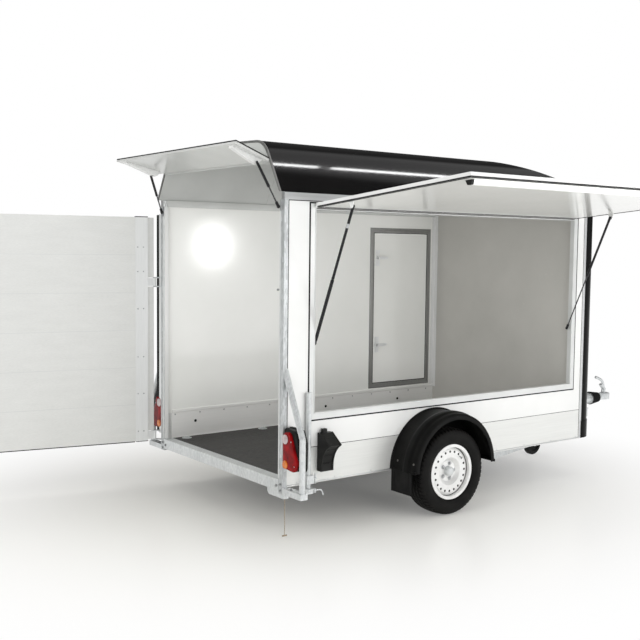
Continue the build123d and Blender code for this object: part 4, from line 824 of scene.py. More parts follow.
    def build(self) -> None:
        """Set the stage."""
        bpy.context.scene.view_settings.view_transform = "Standard"
        self.camera()
        self.floor()
        self.world()
        middle = lay(200, 0, 1300)
        self.lamp("key_round", lay(2664, -5251, 1898), lay(-852, 801, 1875), 0.29, 26.0, LampShape.ROUND,
                  0.50)
        for name, x, length, power in (("strip_rear", 1750.0, 0.9, 4.5), ("strip_front", 3900.0, 3.0, 15.0)):
            self.lamp(name, lay(x, -2540, 6300), lay(x, -740, 2374), length, power, LampShape.OBLONG, 0.12)
        self.lamp("side_soft", lay(-800, -6500, 4200), middle, 4.0, 82.0, mirrored=False)
        self.lamp("side_low", lay(600, -6500, 1300), middle, 3.6, 80.0, LampShape.OBLONG, 1.4, mirrored=False)
        self.lamp("under_soft", lay(3000, -5200, 500), lay(300, -1500, 2000), 2.5, 20.0)
        self.lamp("rear_soft", lay(-6500, -1200, 3600), middle, 3.5, 125.0, mirrored=False)
        self.lamp("top_soft", lay(300, 400, 6500), middle, 4.5, 150.0, mirrored=False)


@dataclass
class PullCord:
    """Cord that hangs from the sill, on the route of its solid.

    Args:
        route: Control points in millimetres from the ground under the axle.
        radius: Half the cord's width in metres.
        length: Real length in metres; not used.
    """

    route: tuple[tuple[float, float, float], ...] = (
        (-1272.0, -838.0, 257.7), (-1272.0, -839.0, 212.0), (-1273.5, -837.0, 165.0),
        (-1272.0, -839.5, 118.0), (-1271.0, -838.0, 70.0), (-1272.0, -838.5, 22.0))
    radius: float = 0.002
    length: float = 0.2358

    def build(self) -> None:
        """One NURBS spline through the route's control points."""
        points = np.array([lay(*stop) for stop in self.route])
        data = bpy.data.curves.new("hanging_cord", "CURVE")
        data.dimensions = "3D"
        data.bevel_depth = self.radius
        data.bevel_resolution = 3
        data.use_fill_caps = True
        spline = data.splines.new("NURBS")
        spline.points.add(len(points) - 1)
        spline.points.foreach_set("co", np.column_stack([points, np.ones(len(points))]).ravel())
        spline.order_u = 3
        spline.use_endpoint_u = True
        spline.resolution_u = 12
        data.materials.append(CORD_FIBRE.material())
        made = new_object("hanging_cord", data)
        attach(made, "chassis")
        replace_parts(made, "pull_cord")
        LOG.info("hanging_cord: %d control points", len(points))


@dataclass
class RoadWheels:
    """Tyres with tread and ribbed sidewalls, wheel bolts and valves.

    Args:
        centre_y: Distance of the wheel's middle from the centre plane in millimetres.
        radius: Rolling radius in millimetres.
        pitches: Tread blocks round the tyre.
        steps: Grid steps in each pitch.
        groove: Depth of the tread in millimetres.
        grooves: Distances of the round grooves from the tyre's middle in millimetres.
        slots: Where the shoulders' cross slots start and end.
        cuts: Where the fine cuts start and end.
        bolts: Number of wheel bolts.
        bolt_circle: Radius of the bolts' circle in millimetres.
        face: Distance of the disc's outer face from the wheel's middle in millimetres.
    """

    centre_y: float = 970.0
    radius: float = 306.0
    pitches: int = 60
    steps: int = 7
    groove: float = 7.0
    grooves: tuple[float, float] = (16.0, 46.0)
    slots: tuple[float, float] = (50.0, 84.0)
    cuts: tuple[float, float] = (20.0, 42.0)
    bolts: int = 5
    bolt_circle: float = 56.0
    face: float = 37.0

    def tread(self) -> Surface:
        """Tyre about its own axle.

        Returns:
            Cross-section (offset, radius) turned about Y, with the radius lowered by the tread: two zigzag
            grooves round each half of the tyre, and slots across its shoulders and fine cuts that repeat
            with each pitch.
        """
        wall_y = np.array([71.0, 71.0, 75.0, 82.0, 86.5, 88.0, 92.5, 96.0, 96.9, 96.9, 95.6, 95.6, 93.0, 88.5,
                           83.5, 79.0])
        wall_r = np.array([181.0, 196.0, 199.0, 203.0, 208.0, 214.0, 222.0, 234.0, 243.0, 250.0, 256.0, 258.0,
                           270.0, 282.0, 291.0, 296.5])
        crown_y = np.linspace(76.0, -76.0, 78)
        crown_r = self.radius - 5.6 * (crown_y / 75) ** 2 - 2.4 * np.abs(crown_y / 76) ** 12
        offset = np.concatenate([wall_y, crown_y, -wall_y[::-1]])
        radius = np.concatenate([wall_r, crown_r, wall_r[::-1]])
        angle = angles(self.pitches * self.steps)
        turn, side = np.meshgrid(angle, offset, indexing="ij")
        phase = (turn * self.pitches / (2 * math.pi)) % 1.0
        zigzag = 3.0 * (np.abs(phase - 0.5) - 0.25)
        out = np.abs(side)
        lines = np.min(np.abs(out[..., None] - zigzag[..., None] - np.array(self.grooves)), axis=-1)
        rounds = np.clip((5.2 - lines) / 1.8, 0, 1)
        gap = np.abs((phase + out / 90.0) % 1.0 - 0.5)
        slots = np.clip((0.17 - gap) / 0.06, 0, 1) * (out > self.slots[0]) * (out < self.slots[1])
        sipes = 0.45 * np.clip((0.10 - gap) / 0.05, 0, 1) * (out > self.cuts[0]) * (out < self.cuts[1])
        on_tread = np.clip((radius - 284.0) / 10.0, 0, 1)
        depth = self.groove * np.maximum(np.maximum(rounds, slots), sipes) * on_tread
        reach = radius[None, :] - depth
        points = np.stack([reach * np.sin(turn), np.broadcast_to(side, reach.shape), reach * np.cos(turn)],
                          -1) / MM
        return Surface.grid(points, wrap_rows=True, wrap_columns=True)

    def fixings(self) -> Surface:
        """Wheel bolts and the valve about the wheel's own axle, on the outer face of the disc."""
        turns = angles(self.bolts) + 0.3
        seats = np.stack([np.sin(turns), np.zeros(self.bolts), np.cos(turns)], 1) * self.bolt_circle / MM
        bolt = hex_bolt(-Y * self.face / MM, -Y, BOLT_10)
        valve = np.array([(0, 0), (0, 5), (6, 5.5), (14, 4), (26, 3.4), (27, 4), (38, 4), (40, 3),
                          (40, 0)]) / MM
        stem = Surface.lathe(valve, np.array([0.098, -0.050, 0.098]), np.array([-0.25, -0.93, -0.25]) / 0.995,
                             12)
        return Surface.joined([bolt.copies(seats), stem])

    def cap(self) -> Surface:
        """Pressed hub cap: a low crown with a bead round its foot, turned about Y."""
        profile = np.array([(0.0, 0.0), (0.0, 35.0), (3, 35.0), (4, 33.6), (25, 33.6), (28, 32.0), (35, 25.0),
                            (36, 22.0), (36.6, 10.0), (36.6, 0.0)])
        return Surface.lathe(profile / MM, -Y * self.face / MM, -Y, 36)

    def shadow_rings(self) -> Surface:
        """Dark rings about Y: behind the disc's round holes, and in the joint of disc and barrel."""
        behind = rectangle(53.5, 131.0, 58.7, 149.0) / MM
        joint = rectangle(44.0, 168.5, 51.5, 173.4) / MM
        return Surface.joined([Surface.lathe(ring, np.zeros(3), -Y, 64) for ring in (behind, joint)])

    def build(self) -> None:
        """Both wheels; the left one is the mirror image of the right."""
        hub = lay(0, -self.centre_y, self.radius)
        for side, mirror in (("right", False), ("left", True)):
            for name, shape, finish, slot, stands_for in (
                    ("tyre_tread", self.tread(), TYRE_RUBBER, "tyre", "tyre"),
                    ("wheel_bolts", self.fixings(), BOLT_STEEL, "wheel_silver", None),
                    ("wheel_shadow_rings", self.shadow_rings(), BLACK_PLASTIC, "brake_drum", None),
                    ("hub_cap", self.cap(), ZINC, "wheel_silver", None)):
                placed = Surface(shape.points + hub, shape.faces)
                placed = placed.mirrored() if mirror else placed
                made = placed.piece(f"{name}_{side}", finish, f"wheel_{side}", slot)
                if stands_for:
                    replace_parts(made, f"{stands_for}_{side}")


Row = tuple[Surface, str, Finish, str]


def fit(body: str, *rows: Row) -> None:
    """Make the pieces of one body.

    Args:
        body: Body that they move with.
        rows: Shape, name, finish and slot of each piece.
    """
    for shape, name, finish, slot in rows:
        shape.piece(name, finish, body, slot)


@dataclass(frozen=True)
class Hinge:
    """Axis of a leaf, to carry pieces laid out on the closed leaf to its open rest.

    Args:
        point: Point on the axis in millimetres.
        axis: Axis direction, 0 to 2 for X to Z.
        degrees: Turn from closed to open, by the right-hand rule.
    """

    point: tuple[float, float, float]
    axis: int
    degrees: float

    def open(self, shape: Surface) -> Surface:
        """Turn a shape about the axis.

        Args:
            shape: Shape on the closed leaf.

        Returns:
            The shape on the open leaf: the two measures across the axis are turned by the angle.
        """
        turn = math.radians(self.degrees)
        first, second = (self.axis + 1) % 3, (self.axis + 2) % 3
        away = shape.points - lay(*self.point)
        moved = away.copy()
        moved[:, first] = math.cos(turn) * away[:, first] - math.sin(turn) * away[:, second]
        moved[:, second] = math.sin(turn) * away[:, first] + math.cos(turn) * away[:, second]
        return Surface(moved + lay(*self.point), shape.faces)

    def fit(self, body: str, *rows: Row) -> None:
        """Open each row's shape with the leaf, then make the pieces."""
        fit(body, *((self.open(shape), *rest) for shape, *rest in rows))


SIDE_HINGE = Hinge((0.0, -846.0, 2120.0), 0, -95.0)
REAR_HINGE = Hinge((-1340.0, 0.0, 2412.0), 1, 104.7)
DOOR_HINGE = Hinge((-1316.0, 892.0, 0.0), 2, -101.0)


@dataclass
class RoofInside:
    """Grey lining under the roof, its cover strips and the trim round its rear edge.

    Args:
        rear_x: Rear end of the lining in millimetres.
        front_x: Front end of the lining.
        skins: Distances of the lining's two faces inside the roof's outer face.
        strips: Places of the cover strips along X.
        strip_half: Half width of a cover strip.
        half: Half width at the foot of the roof in millimetres.
        shoulder: Half width at the shoulder.
        foot_z: Height of the foot.
        shoulder_z: Height of the shoulder.
        crest_z: Height of the crest.
        fillet: Radius of the shoulder.
        drop_x: Where the roof starts to fall to the front.
        drop_r: Radius of that fall.
    """

    rear_x: float = -1318.0
    front_x: float = 1541.0
    skins: tuple[float, float] = (15.0, 19.0)
    strips: tuple[float, float] = (-330.0, 480.0)
    strip_half: float = 18.0
    half: float = 833.0
    shoulder: float = 647.0
    foot_z: float = 2208.0
    shoulder_z: float = 2540.0
    crest_z: float = 2556.0
    fillet: float = 170.0
    drop_x: float = 500.0
    drop_r: float = 3700.0

    def section(self, inset: float) -> Array:
        """Cross-section from the right foot to the left foot.

        Args:
            inset: Distance inside the outer skin.

        Returns:
            Rows of sideways place and height: a straight flank, a quadratic curve round the shoulder whose
            ends lie one tangent length from the corner, and a parabola over the crest.
        """
        foot = np.array([self.half - inset, self.foot_z])
        corner = np.array([self.shoulder - inset, self.shoulder_z - inset])
        rise = self.crest_z - self.shoulder_z
        flank = unit(foot - corner)
        top = unit(np.array([-corner[0], 2 * rise]))
        turn = math.acos(-float(flank @ top))
        reach = (self.fillet - inset) * math.tan(turn / 2)
        start = corner + reach * flank
        end_y = corner[0] + reach * top[0]
        end = np.array([end_y, self.crest_z - inset - rise * (end_y / corner[0]) ** 2])
        share = np.linspace(0, 1, 13)[:, None]
        bend = (1 - share) ** 2 * start + 2 * share * (1 - share) * corner + share ** 2 * end
        crown_y = np.linspace(end_y, 0, 9)[1:]
        crown = np.stack([crown_y, self.crest_z - inset - rise * (crown_y / corner[0]) ** 2], 1)
        side = foot + np.linspace(0, 1, 5)[:-1, None] * (start - foot)
        left = np.vstack([side, bend, crown])
        return np.vstack([left * (-1, 1), left[-2::-1]])

    def lining(self) -> Surface:
        """Thin shell under the roof skin.

        Returns:
            Two sections inside the roof's outer face, carried along X; each height is the smaller of the
            section and the crest less the fall to the front, which is a circle.
        """
        outer, inner = self.skins
        ring = np.vstack([self.section(outer), self.section(inner)[::-1]])
        inset = np.repeat(self.skins, len(ring) // 2)
        xs = np.linspace(self.rear_x, self.front_x, 40)
        radius = self.drop_r - inset[None, :]
        past = np.maximum(xs[:, None] - self.drop_x, 0)
        limit = self.crest_z - inset[None, :] - radius + np.sqrt(radius ** 2 - past ** 2)
        height = np.minimum(ring[None, :, 1], limit)
        return Surface.loft(spread(xs[:, None], ring[None, :, 0], height))

    def edge(self) -> Surface:
        """Trim round the rear edge: a flat hook profile carried along the section, from foot to foot."""
        outer, skin, inner = (self.section(inset) for inset in (-2.0, 0.5, 13.0))
        profile = ((-1323, outer), (-1314, outer), (-1314, skin), (-1320, skin), (-1320, inner),
                   (-1323, inner))
        return Surface.loft(np.stack([spread(x, path[:, 0], path[:, 1]) for x, path in profile], 1))

    def ribs(self) -> Surface:
        """Two narrow cover strips over the lining's joints: the lining's section, 5 mm deep."""
        ring = np.vstack([self.section(18.0), self.section(23.0)[::-1]])
        edges = np.array([-self.strip_half, self.strip_half])[:, None]
        return Surface.joined([Surface.loft(spread(middle + edges, ring[None, :, 0], ring[None, :, 1]))
                               for middle in self.strips])

    def build(self) -> None:
        """Lining, its cover strips and the edge trim."""
        fit("chassis",
            (self.lining(), "roof_lining", LINING_GREY, "white_panel"),
            (self.ribs(), "roof_lining_strips", LINING_GREY, "white_panel"),
            (self.edge(), "roof_edge_trim", FRAME_GREY, "aluminium"))


@dataclass
class BodySeams:
    """Gaskets, joints and cover strips on the box's outer faces.

    Args:
        wall_y: Distance of the outer faces from the centre plane in millimetres.
        rear_x: Rear end of the wall panels.
        front_x: Front end of the wall panels.
        rivet_pitch: Distance between rivets.
        fender_x: Middle of the fenders along X.
        fender_reach: Distance from that middle within which there is no rivet.
    """

    wall_y: float = 835.0
    rear_x: float = -1257.0
    front_x: float = 1641.0
    rivet_pitch: float = 310.0
    fender_x: float = 14.0
    fender_reach: float = 405.0

    def hatch_gasket(self) -> Surface:
        """Rubber strip round the hatch frame: a low rounded profile along a mitred rectangle."""
        corners = rectangle(-1088.0, 746.0, 1554.0, 2142.0)
        profile = np.array([(-0.5, 0.0), (9.5, 0.0), (9.0, 2.0), (4.5, 3.6), (-0.5, 3.4)])
        return Surface.band(corners, profile, lay(0, -self.wall_y, 0), X, Z, -Y)

    def hatch_seal(self) -> Surface:
        """Bulb seal on the hatch frame's face, just outside the opening."""
        corners = rectangle(-1044.0, 790.0, 1510.0, 2098.0)
        profile = np.array([(4.0, 0.0), (9.0, 0.0), (9.6, 1.6), (6.5, 3.0), (3.4, 1.6)])
        return Surface.band(corners, profile, lay(0, -self.wall_y - 3, 0), X, Z, -Y)

    def hatch_shade(self) -> Surface:
        """Dark strip along the head of the hatch frame, below the flap's hinge: painted shade under the open
        flap.
        """
        return Surface.slab((-1044.0, -self.wall_y - 2.5, 2098.5), (1510.0, -self.wall_y - 4.0, 2114.0), 0.6)

    def lines(self) -> Surface:
        """Dark joints along planks, rail and roof foot, and up both end profiles, on both sides."""
        y = -self.wall_y
        rear, front = self.rear_x, self.front_x
        strips = ((rear, front, 565.5, 568.8), (rear, front, 2154.5, 2159.6),
                  (front - 2, front + 2, 330.0, 2159.0), (rear - 2.5, rear + 2.5, 569.0, 2157.0),
                  (-1290.0, 1672.0, 2206.0, 2209.0))
        return Surface.joined([Surface.slab((x0, y + 0.3, z0), (x1, y - 0.8, z1), 0.2).both()
                               for x0, x1, z0, z1 in strips])

    def plank_lip(self) -> Surface:
        """Small half-oval lip carried along the foot of the planks, on both sides."""
        profile = oval(4.0, 3.0, np.linspace(0, math.pi, 7))
        path = lay(*((x, -self.wall_y, 336.0) for x in (self.rear_x, 192.0, self.front_x)))
        return Surface.sweep(profile[:, ::-1], path, Z).both()

    def rivets(self) -> Surface:
        """Rivets along the planks' foot on both sides, at even pitch, clear of the fenders."""
        xs = np.arange(-1180.0, 1620.0, self.rivet_pitch)
        clear = xs[np.abs(xs - self.fender_x) > self.fender_reach]
        return rivet(np.zeros(3), -Y, 0.006).copies(spread(clear, -self.wall_y, 348.0)).both()

    def build(self) -> None:
        """All the box's seams."""
        fit("chassis",
            (self.hatch_gasket(), "hatch_gasket", BLACK_RUBBER, "rubber"),
            (self.hatch_seal(), "hatch_seal", TRIM_GREY, "rubber"),
            # painted shade: a dark strip where the open flap shades the head of the hatch frame
            (self.hatch_shade(), "hatch_shade_strip", CAST_IRON, "aluminium"),
            (self.lines(), "panel_joints", BLACK_RUBBER, "rubber"),
            (self.plank_lip(), "plank_lips", ALUMINIUM_X, "aluminium"),
            (self.rivets(), "plank_rivets", ALUMINIUM_X, "aluminium"))


@dataclass
class TailLamps:
    """Three-chamber tail lamps: black housing, red lens with a clear and an amber round.

    Args:
        lens_x: Rear face of the lens in millimetres.
    """

    lens_x: float = -1292.0

    def lens(self) -> Surface:
        """Crowned red lens: the drop outline drawn in to its middle as it rises, by a quarter ellipse."""
        corners = np.array([(-835.0, 460.0), (-950.0, 447.0), (-984.0, 464.0), (-993.0, 522.0),
                            (-917.0, 695.0), (-868.0, 697.0), (-835.0, 680.0)])
        outline = rounded_outline(corners, 15.0, 90)
        middle = np.array([-895.0, 560.0])
        share = np.array([1.0, 1.0, 0.985, 0.955, 0.90, 0.6, 0.2])
        depth = np.array([-1270.0, -1282.0, -1287.0, -1290.0, -1291.6, -1292.0, -1292.0])
        flat = middle + (outline - middle)[None] * share[:, None, None]
        return Surface.loft(spread(depth[:, None], flat[..., 0], flat[..., 1]))

    def housing(self) -> Surface:
        """Black housing behind the lens and its wider back plate: soft-cornered outlines carried forward."""
        shell = np.array([(-836.0, 456.0), (-960.0, 450.0), (-990.0, 468.0), (-992.0, 620.0), (-960.0, 712.0),
                          (-836.0, 716.0)])
        plate = np.array([(-836.0, 452.0), (-1000.0, 448.0), (-1019.0, 470.0), (-1019.0, 640.0),
                          (-985.0, 718.0), (-836.0, 722.0)])
        share = np.array([0.95, 0.98, 1.0, 1.0])
        parts = []
        for corners, depth in ((shell, (-1277.0, -1274.0, -1262.0, -1243.0)),
                               (plate, (-1243.5, -1242.0, -1238.0, -1224.0))):
            outline = rounded_outline(corners, 12.0, 80)
            middle = outline.mean(0)
            flat = middle + (outline - middle)[None] * share[:, None, None]
            parts.append(Surface.loft(spread(np.array(depth)[:, None], flat[..., 0], flat[..., 1])))
        return Surface.joined(parts)

    def round(self, y: float, z: float, radius: float) -> Surface:
        """Round chamber with a raised rim and ring steps, turned about the X axis."""
        share = np.array([(-2, 0), (-2, 1.0), (3, 1.0), (5, 0.94), (4, 0.86), (5.5, 0.78), (4.6, 0.6),
                          (6.4, 0.5), (5.6, 0.3), (7, 0.22), (7, 0)])
        return Surface.lathe(share * (1, radius) / MM, lay(self.lens_x, y, z), -X, 32)

    def screws(self) -> Surface:
        """Two lens screws."""
        return Surface.joined([rivet(lay(self.lens_x + 0.6, y, z), -X, 0.005)
                               for y, z in ((-930.0, 640.0), (-968.0, 490.0))])

    def build(self) -> None:
        """Both lamps, each piece with its mirror image."""
        made = self.housing().both().piece("lamp_housings", BLACK_PLASTIC, "chassis", "lamp")
        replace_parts(made, "tail_lamps")
        fit("chassis",
            (self.lens().both(), "lamp_lenses", LENS_RED, "lamp"),
            (self.round(-866.0, 648.0, 31.0).both(), "lamp_reverse_rounds", LENS_CLEAR, "lamp"),
            (self.round(-868.0, 486.0, 27.0).both(), "lamp_signal_rounds", LENS_AMBER, "lamp"),
            (self.screws().both(), "lamp_screws", BOLT_STEEL, "galvanised"))


@dataclass
class Fenders:
    """Moulded half-round fenders with a raised band, a rounded outer edge and a turned-in lip.

    Args:
        centre: Middle of the arc along X and Z in millimetres.
        radius: Outer radius.
        wall_y: Distance of the wall from the centre plane.
        end_z: Height of both ends.
    """

    centre: tuple[float, float] = (14.0, 330.0)
    radius: float = 390.0
    wall_y: float = 835.0
    end_z: float = 340.0

    def liner(self) -> Surface:
        """Black liner on the wall inside the arc: a half disc, 2 mm thick."""
        angle = np.linspace(0.02, math.pi - 0.02, 49)
        inside = self.radius - 5
        outline = self.centre + inside * np.stack([np.cos(angle), np.sin(angle)], 1)
        depth = np.array([-self.wall_y + 0.5, -self.wall_y - 2.0])[:, None]
        return Surface.loft(spread(outline[None, :, 0], depth, outline[None, :, 1]))

    def flap(self) -> Surface:
        """Rubber flap below the rear end: a plate with two shallow upright ribs."""
        x, near = self.centre[0] - self.radius, -self.wall_y - 2
        parts = [Surface.slab((x, near, 184.0), (x + 5, near - 205, self.end_z + 6), 1.0)]
        parts += [Surface.slab((x - 2.5, near - out, 190.0), (x + 1, near - out - 9, self.end_z - 6), 0.8)
                  for out in (26.0, 170.0)]
        return Surface.joined(parts)

    def shell(self) -> Surface:
        """Fender on the right side.

        Returns:
            Thin profile of outward place and rise, carried round the arc:
            centre + (radius + rise) * (cos a, sin a).
        """
        outer = [(0, 12), (4, 13), (9, 12), (13, 3), (18, 0), (104, 0), (118, 1), (127, 4), (136, 8),
                 (150, 9), (168, 9), (180, 8), (188, 4), (195, 0), (205, -1), (224, -1), (236, -3), (243, -8),
                 (247, -15), (248, -22), (248, -37), (247, -42)]
        inner = [(242, -42), (243, -36), (243, -22), (241, -15), (237, -10), (230, -7), (205, -6), (193, -5),
                 (182, 3), (168, 4), (136, 3), (124, -3), (104, -5), (0, -5)]
        profile = np.array(outer + inner, float)
        low = math.asin((self.end_z - self.centre[1]) / self.radius)
        angle = np.linspace(math.pi - low, low, 61)[:, None]
        reach = self.radius + profile[None, :, 1]
        return Surface.loft(spread(self.centre[0] + reach * np.cos(angle), -self.wall_y - profile[None, :, 0],
                                   self.centre[1] + reach * np.sin(angle)))

    def ends(self) -> Surface:
        """Stiff bars across both ends."""
        bars = [Surface.slab((x - 7, -self.wall_y - 1, self.end_z - 3),
                             (x + 9, -self.wall_y - 246, self.end_z + 16), 3.0)
                for x in (self.centre[0] - self.radius + 6, self.centre[0] + self.radius - 9)]
        return Surface.joined(bars)

    def fixings(self) -> Surface:
        """Two screws near each end of the arc, one on each side of the raised band."""
        spots = []
        for degrees in (11.0, 169.0):
            spoke = np.array([math.cos(math.radians(degrees)), 0, math.sin(math.radians(degrees))])
            middle = lay(self.centre[0], 0, self.centre[1])
            spots += [rivet(middle + spoke * (self.radius + rise) / MM - Y * (self.wall_y + out) / MM, spoke,
                            0.008) for out, rise in ((222.0, -1.2), (60.0, -0.2))]
        return Surface.joined(spots)

    def build(self) -> None:
        """Both fenders."""
        outside = Surface.joined([self.shell(), self.ends()]).both()
        made = outside.piece("fender_shells", FENDER_BLACK, "chassis", "black_plastic")
        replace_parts(made, "fenders")
        self.liner().both().piece("fender_liners", FENDER_BLACK, "chassis", "black_plastic")
        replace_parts(self.flap().both().piece("mudflap_sheets", BLACK_RUBBER, "chassis", "rubber"), "mudflaps")
        self.fixings().both().piece("fender_screws", CAST_IRON, "chassis", "galvanised")


@dataclass
class RearPortal:
    """Seals, catch pegs, bolts and the prop clamps round the rear opening.

    Args:
        post_y: Distance of the posts' outer faces from the centre plane in millimetres.
        rear_x: Rear faces of the posts.
    """

    post_y: float = 835.0
    rear_x: float = -1290.0

    def hinge_seal(self) -> Surface:
        """Flat rubber lip beside the left post, under the door's hinge straps."""
        x, y = self.rear_x, self.post_y
        return Surface.slab((x + 1, y + 32, 418.0), (x + 8, y + 76, 2100.0), 2.0)

    def seal_holder(self) -> Surface:
        """Aluminium holder that clamps the rubber lip to the left post."""
        x, y = self.rear_x, self.post_y
        return Surface.slab((x - 0.5, y, 412.0), (x + 12, y + 34, 2104.0), 2.0)

    def post_linings(self) -> Surface:
        """White strips over the inner sides of both posts."""
        x, y = self.rear_x, self.post_y
        return Surface.slab((x + 3, y - 51.5, 376.0), (x + 35, y - 49.5, 2157.0), 0.5).both()

    def face_seals(self) -> Surface:
        """Bulb seals up the rear faces of both posts: a half oval carried upwards."""
        bulb = oval(5.0, 6.0, np.linspace(0, math.pi, 9))
        y, x = self.post_y - 41, self.rear_x
        upright = Surface.sweep(bulb, lay((x, -y, 384.0), (x, -y, 1200.0), (x, -y, 2088.0)), -X)
        return upright.both()

    def pegs(self) -> Surface:
        """Catch peg that stands inwards from the right post: a stem with a collar and a rounded head."""
        shape = np.array([(0, 0), (0, 9), (3, 9), (4, 5), (34, 5), (35, 8), (40, 8), (42, 6), (43, 0)]) / MM
        return Surface.lathe(shape, lay(self.rear_x + 14, -self.post_y + 50, 1591.0), Y, 18)

    def prop_clamps(self) -> Surface:
        """Clamp under the planks: a flat bar bent round the prop tube, and a cranked grip."""
        bar = rectangle(-2.5, -11, 2.5, 11) / MM
        loop = lay((-1134, -842, 284), (-1134, -872, 284), (-1126, -884, 284), (-1104, -887, 284),
                   (-1082, -884, 284), (-1074, -872, 284), (-1074, -842, 284))
        rod = oval(5.0, 5.0, angles(10))
        grip = lay((-1076, -864, 286), (-1030, -864, 286), (-1008, -866, 285), (-999, -872, 274),
                   (-996, -880, 250))
        collar = Surface.slab((-1062, -874, 272), (-1048, -854, 300), 3.0)
        hanger = Surface.slab((-1134, -848, 262), (-1074, -840, 336), 2.0)
        return Surface.joined([Surface.sweep(bar, loop, Z), Surface.sweep(rod, grip, Y), collar, hanger])

    def bolts(self) -> Surface:
        """Bolts through the posts' feet and the lamp brackets' flanges."""
        feet = [hex_bolt(lay(self.rear_x, side * y, z), -X, BOLT_8) for side in (-1, 1)
                for y, z in ((811.0, 304.0), (811.0, 345.0), (765.0, 330.0))]
        arms = [hex_bolt(lay(self.rear_x + 22, side * 900.0, 325.0), Z, BOLT_8) for side in (-1, 1)]
        return Surface.joined(feet + arms)

    def build(self) -> None:
        """All the portal's pieces."""
        fit("chassis",
            (self.hinge_seal(), "door_hinge_seal", BLACK_RUBBER, "rubber"),
            (self.seal_holder(), "door_seal_holder", ALUMINIUM_Z, "aluminium"),
            (self.post_linings(), "post_linings", WALL_WHITE, "white_panel"),
            (self.face_seals(), "post_seals", TRIM_GREY, "rubber"),
            (self.pegs(), "catch_pegs", BOLT_STEEL, "galvanised"),
            (self.prop_clamps().both(), "prop_clamps", ZINC, "galvanised"),
            (self.bolts(), "portal_bolts", BOLT_STEEL, "galvanised"))


@dataclass
class Chock:
    """Raised rims and grip ribs of the wheel chock on the right wall.

    Args:
        sides: Both side faces along X in millimetres.
    """

    sides: tuple[float, float] = (-1016.0, -916.0)

    def outline(self) -> Array:
        """Working faces from crest over tip to toe, along Y and Z: a line, then a parabola."""
        crest, tip, hollow, toe = (np.array(point)
                                   for point in ((-868.0, 658.0), (-967.0, 587.0), (-898.0, 516.0),
                                                 (-880.0, 406.0)))
        share = np.linspace(0, 1, 16)[:, None]
        control = 2 * hollow - (tip + toe) / 2
        curve = (1 - share) ** 2 * tip + 2 * share * (1 - share) * control + share ** 2 * toe
        return np.vstack([crest + np.linspace(0, 1, 6)[:-1, None] * (tip - crest), curve])

    def rims(self) -> Surface:
        """Two raised rims along the working faces, each an oblong profile carried along the outline."""
        path = self.outline()
        bar = rectangle(-3.0, -4.5, 3.0, 4.5) / MM
        return Surface.joined([Surface.sweep(bar, spread(x, path[:, 0], path[:, 1]), X)
                               for x in (self.sides[0] + 5, self.sides[1] - 5)])

    def ribs(self) -> Surface:
        """Four cross ribs between the rims."""
        path = self.outline()
        rear, front = self.sides
        return Surface.joined([Surface.slab((rear + 6, y - 3, z - 3), (front - 6, y + 3, z + 3), 0.8)
                               for y, z in path[[2, 9, 13, 17]]])

    def build(self) -> None:
        """Rims and ribs."""
        fit("chassis",
            (self.rims(), "chock_rims", BLACK_PLASTIC, "black_plastic"),
            (self.ribs(), "chock_ribs", BLACK_PLASTIC, "black_plastic"))


